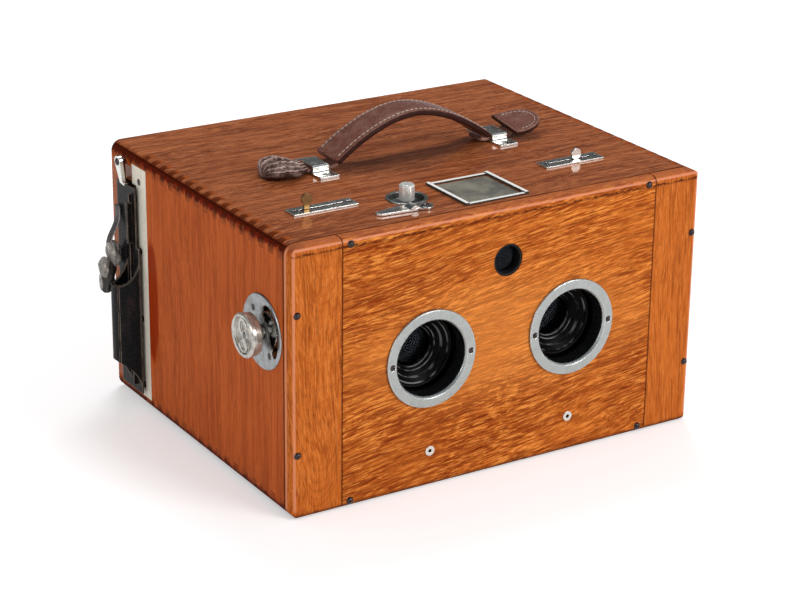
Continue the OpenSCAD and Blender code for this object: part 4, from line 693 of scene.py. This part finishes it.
leather_material("handle_leather", (0.198, 0.073, 0.052), (0.018, 0.003, 0.002), (0.48, 0.28, 0.21), 1.1, 0.00006,
                 reflection=0.10)
# The left tab is nearly black; its very pale colour goes only on the crests of its pleats, as painted highlights.
leather_material("tab_leather", (0.048, 0.015, 0.010), (0.010, 0.003, 0.002), (1.0, 0.72, 0.63), 1.6, 0.00005,
                 reflection=0.08)
# The bag's leather is black; its pale grey skin and paler rims are painted sheen.
leather_material("bag_leather", (0.36, 0.33, 0.30), (0.012, 0.010, 0.009), (0.86, 0.80, 0.73), 1.1, 0.0002)
leather_material("thread", (0.62, 0.48, 0.39), (0.30, 0.20, 0.15), (0.70, 0.58, 0.48), 3.0, 0.00005)

# %% [markdown]
# Every leather piece is a grid of points: rows along the piece and columns round it. A formula gives all the
# points at once as an array, and a helper joins neighbours with four-sided faces. Rows that shrink to one point
# close the ends, once points in the same place are merged.

# %% Mesh helpers
def smooth_step(x, start, end):
    """0 before start, 1 after end, and 3t squared minus 2t cubed between them."""
    t = np.clip((x - start) / (end - start), 0.0, 1.0)
    return t * t * (3.0 - 2.0 * t)


def signed_power(x, power):
    """|x| to a power, with the sign of x."""
    return np.sign(x) * np.abs(x) ** power


def turns(count):
    """Angles once round, in equal steps."""
    return np.linspace(0.0, 2.0 * np.pi, count, endpoint=False)


def grid_of(x, y, z):
    """One grid of points from three coordinates, each of which may vary along the rows, the columns or both."""
    return np.stack(np.broadcast_arrays(x, y, z), -1)

# %% A piece from its grids
def make_piece(name, grids, look, rims=None):
    """One object from grids of rows x columns x 3 in millimetres, closed round their columns."""
    points, faces, values, start = [], [], [], 0
    for k, grid in enumerate(grids):
        rows, columns = grid.shape[:2]
        index = start + np.arange(rows * columns).reshape(rows, columns)
        index = np.hstack([index, index[:, :1]])
        faces.append(np.stack([index[:-1, :-1], index[:-1, 1:], index[1:, 1:], index[1:, :-1]], -1).reshape(-1, 4))
        points.append(grid.reshape(-1, 3))
        values.append(np.broadcast_to(rims[k] if rims else 0.0, (rows, columns)).ravel())
        start += rows * columns
    mesh = bpy.data.meshes.new(name)
    mesh.from_pydata((np.concatenate(points) * MM).tolist(), [], np.concatenate(faces).tolist())
    layer = mesh.attributes.new("rim", "FLOAT", "POINT")
    layer.data.foreach_set("value", np.concatenate(values).astype(np.float32))
    shape = bmesh.new()
    shape.from_mesh(mesh)
    bmesh.ops.remove_doubles(shape, verts=shape.verts, dist=1e-6)
    bmesh.ops.recalc_face_normals(shape, faces=shape.faces)
    shape.to_mesh(mesh)
    shape.free()
    mesh.shade_smooth()
    mesh.materials.append(looks[look])
    print(name, len(mesh.vertices), "points", len(mesh.polygons), "faces")
    return add_to_scene(name, mesh)

# %% [markdown]
# A strap is a section carried along a path, square to it, as a railway carriage follows its track. The section is a
# flat superellipse, which has straight sides and soft corners. The path lies in X and Z, because the handle rises
# and falls but doesn't turn aside.

# %% Strap helpers
handle_x, handle_y, leather_z = 2.0, 0.5, 140.3


def strap_section(count, half_width, half_thick, squareness=5.0):
    """Round the section: across = half_width * |cos|^(2/n), up = half_thick * |sin|^(2/n), with their signs."""
    angle, power = turns(count), 2.0 / squareness
    return half_width * signed_power(np.cos(angle), power), half_thick * signed_power(np.sin(angle), power)


def end_rows(length, edge):
    """Stations from 0 to length, crowded at both ends, and how full the section is there, from 0 to 1."""
    inner = np.linspace(edge, length - edge, 96)
    lead = edge * np.array([0.0, 0.0, 0.12, 0.45])
    full = np.array([0.0, 0.80, 0.93, 0.985])
    along = np.concatenate([lead, inner, length - lead[::-1]])
    return along, np.concatenate([full, np.ones(inner.size), full[::-1]])


def lengths_along(xs, zs):
    """The length of a path up to each of its points."""
    return np.concatenate([[0.0], np.cumsum(np.hypot(np.diff(xs), np.diff(zs)))])


def follow(xs, zs, at):
    """x and z of a path at some lengths along it, and the two parts of its unit direction there."""
    arc = lengths_along(xs, zs)
    x, z, dx, dz = (np.interp(at, arc, part) for part in (xs, zs, np.gradient(xs, arc), np.gradient(zs, arc)))
    size = np.hypot(dx, dz)
    return x, z, dx / size, dz / size


def carry(path, across, above):
    """Points = path + across along Y + above along the path's normal, which is (-dz, dx)."""
    x, z, dx, dz = (part[:, None] for part in path)
    return grid_of(x - dz * above, handle_y + across, z + dx * above)

# %% [markdown]
# The grip is several layers of leather, sewn along both long edges. Its underside follows the same arch as the CAD
# solid. It is crowned a little on top, with a pressed channel for each seam. Its cut flanks are dressed dark.

# %% Handle grip
grip_half, grip_side, grip_thick, grip_rise = 45.85, 11.0, 3.4, 19.6
seam_side = grip_side - 2.5


def arch(u):
    """Height of the middle layer: the wood + 2.7 + rise * (1 - |u|^1.8) + (thickness + 0.8 |u|) / 2."""
    return leather_z + 2.7 + grip_rise * (1.0 - np.abs(u) ** 1.8) + (grip_thick + 0.8 * np.abs(u)) / 2


u = np.linspace(-1.0, 1.0, 801)
grip_path = handle_x + u * grip_half, arch(u)
grip_length = float(lengths_along(*grip_path)[-1])
along, fullness = end_rows(grip_length, 1.0)
across, above = (np.outer(fullness, part) for part in strap_section(72, grip_side, grip_thick / 2 + 0.15))
channel = np.exp(-((np.abs(across) - seam_side) / 0.55) ** 2)
above = above + (above > 0) * (0.45 * (1 - (across / grip_side) ** 2) - 0.42 * channel)
# The upper arrises are a little pale: rubbed leather and a painted highlight. The flanks keep the dark dressing.
arris = smooth_step(np.abs(across), 9.8, 10.6) * smooth_step(above, 1.15, 1.35)
grip_rim = 0.3 * arris - smooth_step(np.abs(across), 9.9, 10.6) * (1.0 - smooth_step(above, 1.2, 1.5))
strap = carry(follow(*grip_path, along), across, above)
grip = make_piece("handle_grip_leather", [strap], "handle_leather", [grip_rim])
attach(grip, "handle")
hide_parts("handle_grip")
print("grip is", round(grip_length, 1), "mm along its arch")

# %% [markdown]
# Each end of the grip narrows to a neck that runs under a nickel loop and widens again into a tab, so that the
# handle can't slip out. A neck is a strap too, on a path that lies flat under its loop and rises behind it to meet
# its tab.

# %% Handle necks
neck_half, neck_half_thick = 5.6, 1.2


def neck(side, start, length, rise_from, rise):
    """A neck from start outwards on one side, and its rim. Its path rises at the end, past the share rise_from."""
    t = np.linspace(0.0, 1.0, 60)
    xs = handle_x + side * (start + length * t)
    zs = leather_z + 1.4 + rise * smooth_step(t, rise_from, 1.0) + 0.8 * (1 - smooth_step(t, 0.0, 0.18))
    at, full = end_rows(lengths_along(xs, zs)[-1], 0.6)
    across, above = (np.outer(full, part) for part in strap_section(40, neck_half, neck_half_thick, 4.0))
    return carry(follow(xs, zs, at), across, above), smooth_step(np.abs(across), neck_half - 1.0, neck_half)


left_neck, left_rim = neck(-1, 43.0, 21.5, 0.84, 0.9)
right_neck, right_rim = neck(1, 43.0, 22.5, 0.80, 2.2)
necks = make_piece("handle_necks_leather", [left_neck, right_neck], "handle_leather", [left_rim, right_rim])
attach(necks, "handle")
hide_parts("handle_tabs")

# %% [markdown]
# The left tab is gathered, padded and soft, so its wrinkles are in the mesh and not only in the material. Long
# pleats run from the neck to the blunt end: one minus the absolute value of a sine of the angle round the section,
# with sharp crests and round valleys. Finer creases lie between. Their phase wanders along the tab by a few slow
# sines with fixed phases, which looks random and is the same on each run.

# %% Left tab
tab_start, tab_length, tab_half, tab_round = 61.2, 22.8, 12.0, 12.0
s = np.concatenate([[0.0], (1 - np.cos(np.linspace(0.02, np.pi, 149))) / 2])[:, None]
angle = turns(120)[None, :]
cos_a, sin_a = np.cos(angle), np.sin(angle)
distance = s * tab_length
tip = np.sqrt(np.clip(1 - (np.clip(distance - tab_round, 0, None) / (tab_length - tab_round)) ** 3.2, 0, 1))
half_w = (6.2 + (tab_half - 6.2) * smooth_step(distance, -1.0, 9.0)) * tip
half_h = (2.2 + 1.9 * smooth_step(distance, 0.0, 15.0)) * tip ** 0.7
half_w[0] = half_h[0] = 0.0
side = half_w * signed_power(cos_a, 0.85)
print("left tab is", round(2 * float(half_w.max()), 1), "mm wide before its folds")

# %% Folds of the left tab
wander =sum(a * np.sin(distance * f + p) for a, f, p in ((0.9, 0.31, 0.4), (0.5, 0.83, 2.1), (0.25, 1.9, 4.0)))
pleat = 1.0 - np.abs(np.sin(6.5 * angle + 0.55 * wander + 0.5))
crease = 1.0 - np.abs(np.sin(15.0 * angle + 1.1 * wander + 1.1))
folds = 1.7 * (pleat - 0.36) + 0.45 * (crease - 0.36) + 0.12 * np.sin(distance * 2.2 + side * 0.9 + 2 * wander)
top_part = smooth_step(sin_a, -0.2, 0.3)
fold_size = (0.5 + 0.5 * smooth_step(distance, -1.0, 7.0)) * np.clip(tip * 2.2, 0, 1)
push = folds * fold_size * (0.35 + 0.65 * top_part)
height = half_h * (np.where(sin_a < 0, 0.92, 1.0) + signed_power(sin_a, 0.8)) + push * sin_a
purse = grid_of(handle_x - tab_start - distance, handle_y + side + 0.5 * push * cos_a,
                leather_z + np.maximum(0.15 + height, 0.02))
broken = 0.75 + 0.25 * np.sin(distance * 1.3 + 5.0 * angle)
# The pleat crests on the top of the tab are pale: painted highlights along the pleats.
crest_highlight = np.clip(smooth_step(pleat, 0.50, 0.80) + 0.5 * smooth_step(crease, 0.6, 0.9), 0.0, 1.0) * broken * top_part
left_tab = make_piece("handle_left_tab_leather", [purse], "tab_leather", [crest_highlight])
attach(left_tab, "handle")
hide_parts("handle_tabs")

# %% [markdown]
# The right tab is a half-round slab with a seam parallel to its curved edge. Its outline is carried from the middle
# outwards: each row is the outline scaled by a factor, and the height follows the factor. Above, it has the seam's
# channel, at the rim it turns round, and below it comes back to the middle. Both middles close to a point. The
# whole tab leans back a little and curls up towards its tip.

# %% Right tab
slab_x, slab_length, slab_nose, slab_half, slab_thick = handle_x + 62.05, 20.0, 16.5, 12.2, 2.8
slab_z, hub_x, seam_scale = leather_z + 2.6, 8.0, 0.79


def half_round(count):
    """A straight side at the loop, two short sides and half an ellipse at the tip: along, and across."""
    reach = slab_length - slab_nose
    arc_angle = np.linspace(-np.pi / 2, np.pi / 2, count // 2)
    tip_x = reach + slab_nose * np.clip(np.cos(arc_angle), 0, 1) ** 0.8
    tip_y = slab_half * signed_power(np.sin(arc_angle), 0.9)
    base_y = np.linspace(slab_half, -slab_half, count // 4)
    side_x = np.linspace(reach, 0.0, count // 8 + 2)[1:-1]
    x = np.concatenate([tip_x, side_x, np.zeros(count // 4), side_x[::-1]])
    y = np.concatenate([tip_y, np.full(side_x.size, slab_half), base_y, np.full(side_x.size, -slab_half)])
    return x, y


def slab_points(scale, height, outline):
    """The outline scaled about the hub. It rises by 0.127 * the way back, plus 3 * (way along / length)^2."""
    ox, oy = outline
    x, y = hub_x + scale * (ox - hub_x), scale * oy
    rise = 0.127 * (y + slab_half) + 3.0 * np.clip(x / slab_length, 0.0, None) ** 2
    return grid_of(slab_x + x, handle_y + y, slab_z + height + rise)

# %% Rows of the right tab
outline = half_round(160)
scale = np.array([0.0, 0.35, 0.62, 0.70, 0.745, 0.77, 0.79, 0.81, 0.835, 0.88, 0.93, 0.965, 0.985, 0.997,
                  1.0, 0.997, 0.985, 0.965, 0.93, 0.6, 0.0])[:, None]
level = np.array([1.0, 1.0, 1.0, 0.99, 0.93, 0.86, 0.84, 0.86, 0.93, 0.98, 0.97, 0.92, 0.84, 0.70,
                  0.50, 0.30, 0.16, 0.08, 0.03, 0.0, 0.0])[:, None]
slab = slab_points(scale, slab_thick * level, outline)
slab[..., 2] += 0.10 * np.sin((slab[..., 0] - 60.0) * 0.45) + 0.08 * np.cos(slab[..., 1] * 0.5 + 1.0)
slab_rim = 0.8 * smooth_step(level, 0.80, 0.90) * (scale > 0.96) - 1.0 * (level < 0.75)
right_tab = make_piece("handle_right_tab_leather", [slab], "handle_leather", [slab_rim])
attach(right_tab, "handle")
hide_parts("handle_tabs")

# %% [markdown]
# Stitches are what makes leather look sewn. One stitch is a short rod with round ends, repeated along a seam. The
# seam's middle line gives each stitch its place and direction, and the rod's grid is added to it by broadcasting.

# %% Stitches
def unit(vectors):
    """Vectors of length 1."""
    return vectors / np.linalg.norm(vectors, axis=1, keepdims=True)


def stitch_row(line, normals, pitch=2.7, length=2.35, radius=0.32):
    """Rods along a line of points. Place = line at k * pitch, and the rod's radius is r * sqrt(1 - (2t - 1)^4)."""
    arc = np.concatenate([[0.0], np.cumsum(np.linalg.norm(np.diff(line, axis=0), axis=1))])

    def sampled(values, where):
        return np.stack([np.interp(where, arc, values[:, k]) for k in range(3)], -1)

    count = int(arc[-1] // pitch)
    at = (np.arange(count) + 0.5) * arc[-1] / count
    ahead = unit(sampled(line, at + 0.4) - sampled(line, at - 0.4))
    sideways = unit(np.cross(ahead, sampled(normals, at)))
    t = np.linspace(0.0, 1.0, 7)
    r = radius * np.sqrt(np.clip(1 - (2 * t - 1) ** 4, 0, 1))
    a = turns(6)
    return [m + (t - 0.5)[:, None, None] * length * d + r[:, None, None] * (
        np.cos(a)[None, :, None] * w + np.sin(a)[None, :, None] * n)
        for m, d, w, n in zip(sampled(line, at), ahead, sideways, np.cross(sideways, ahead))]

# %% Sew the seams
x, z, dx, dz = follow(*grip_path, np.linspace(2.2, grip_length - 2.2, 200))
seam_up = grip_thick / 2 + 0.15 + 0.45 * (1 - (seam_side / grip_side) ** 2) - 0.22
rods = []
for sign in (-1, 1):
    line = grid_of(x - dz * seam_up, handle_y + sign * seam_side, z + dx * seam_up)
    rods += stitch_row(line, grid_of(-dz, 0.0, dx))
line = slab_points(seam_scale, slab_thick * 0.84 + 0.16, outline)[:80]
rods += stitch_row(line, np.broadcast_to((0.0, 0.0, 1.0), line.shape), pitch=2.2, length=1.9, radius=0.28)
stitches = make_piece("handle_stitches", rods, "thread")
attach(stitches, "handle")
print(len(rods), "stitches")

# %% [markdown]
# The magazine ends in a soft leather bag, in which the plates are changed by touch. Folded away, it is a pale lump
# over a smaller one, with a dark pouch behind them and a strap above. Each is a loft: rings stacked along its
# height, whose radius varies with the angle. Three deep folds turn slowly round it and finer creases lie between.
# The leather is black: its pale grey, the paler crests of its folds and the pale rims of the strap and of the
# pouch's outer side are painted sheen.

# %% Folded bag
bag_y, guard_x = 82.9, -123.3


def limp_roll(middle, half, lean, phase):
    """An upright roll. Ring size = (1 - |2s - 1|^p)^(1/2), times 1 + folds(angle, s), and it leans in X with s."""
    s = np.concatenate([[0.0], (1 - np.cos(np.linspace(0.05, np.pi - 0.05, 88))) / 2, [1.0]])[:, None]
    angle = turns(96)[None, :]
    full = np.sqrt(np.clip(1 - np.abs(2 * s - 1) ** 2.8, 0, 1))
    twist = angle + 1.2 * s + phase
    folds = (-0.16 * np.abs(np.cos(1.5 * twist + 0.4)) ** 6 + 0.05 * np.sin(3 * twist + 9 * s)
             + 0.045 * np.sin(7 * twist - 14 * s) + 0.025 * np.sin(13 * twist + 22 * s))
    around = full * (1.0 + folds)
    x = middle[0] + lean * (s - 0.5) + 0.3 * np.sin(s * 5.0 + phase) + half[0] * around * np.cos(angle)
    y = middle[1] + 0.35 * np.sin(s * 4.0 + 1.0) + half[1] * around * np.sin(angle)
    return grid_of(np.minimum(x, guard_x), y, middle[2] + half[2] * (2 * s - 1)), smooth_step(folds, 0.01, 0.08)

# %% Lumps, pouch and strap
upper_lump, upper_rim = limp_roll((-126.7, bag_y, 82.4), (3.9, 5.0, 7.6), -1.5, 0.0)
lower_lump, lower_rim = limp_roll((-132.2, bag_y + 0.2, 75.4), (2.4, 4.6, 5.8), 0.3, 2.0)
pouch, _ = limp_roll((-129.8, bag_y + 1.6, 69.6), (4.3, 4.2, 9.6), 1.0, 4.0)
# The pouch is pale on its outermost side, painted sheen, and near-black elsewhere.
pouch_rim = np.where(pouch[..., 0] < -133.6, 0.6, -1.0)

strip_z = np.linspace(84.0, 109.0, 60)[:, None]
ends = np.concatenate([[0.0, 0.85, 0.97], np.ones(54), [0.97, 0.85, 0.0]])
across, above = strap_section(36, 2.5, 0.6, 4.0)
strip = grid_of(-123.7 - 5.6 * smooth_step(104.0 - strip_z, 0.0, 17.0) + np.outer(ends, above),
                bag_y + 0.3 * np.sin(strip_z * 0.3) + np.outer(ends, across), strip_z)
# The strap's pale edges are painted sheen.
strip_rim = 1.7 * smooth_step(np.abs(across), 2.25, 2.48) - 1.0
bag = make_piece("changing_bag_leather", [upper_lump, lower_lump, pouch, strip], "bag_leather",
                 [upper_rim, lower_rim, pouch_rim, strip_rim])
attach(bag, "magazine")
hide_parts("changing_bag")
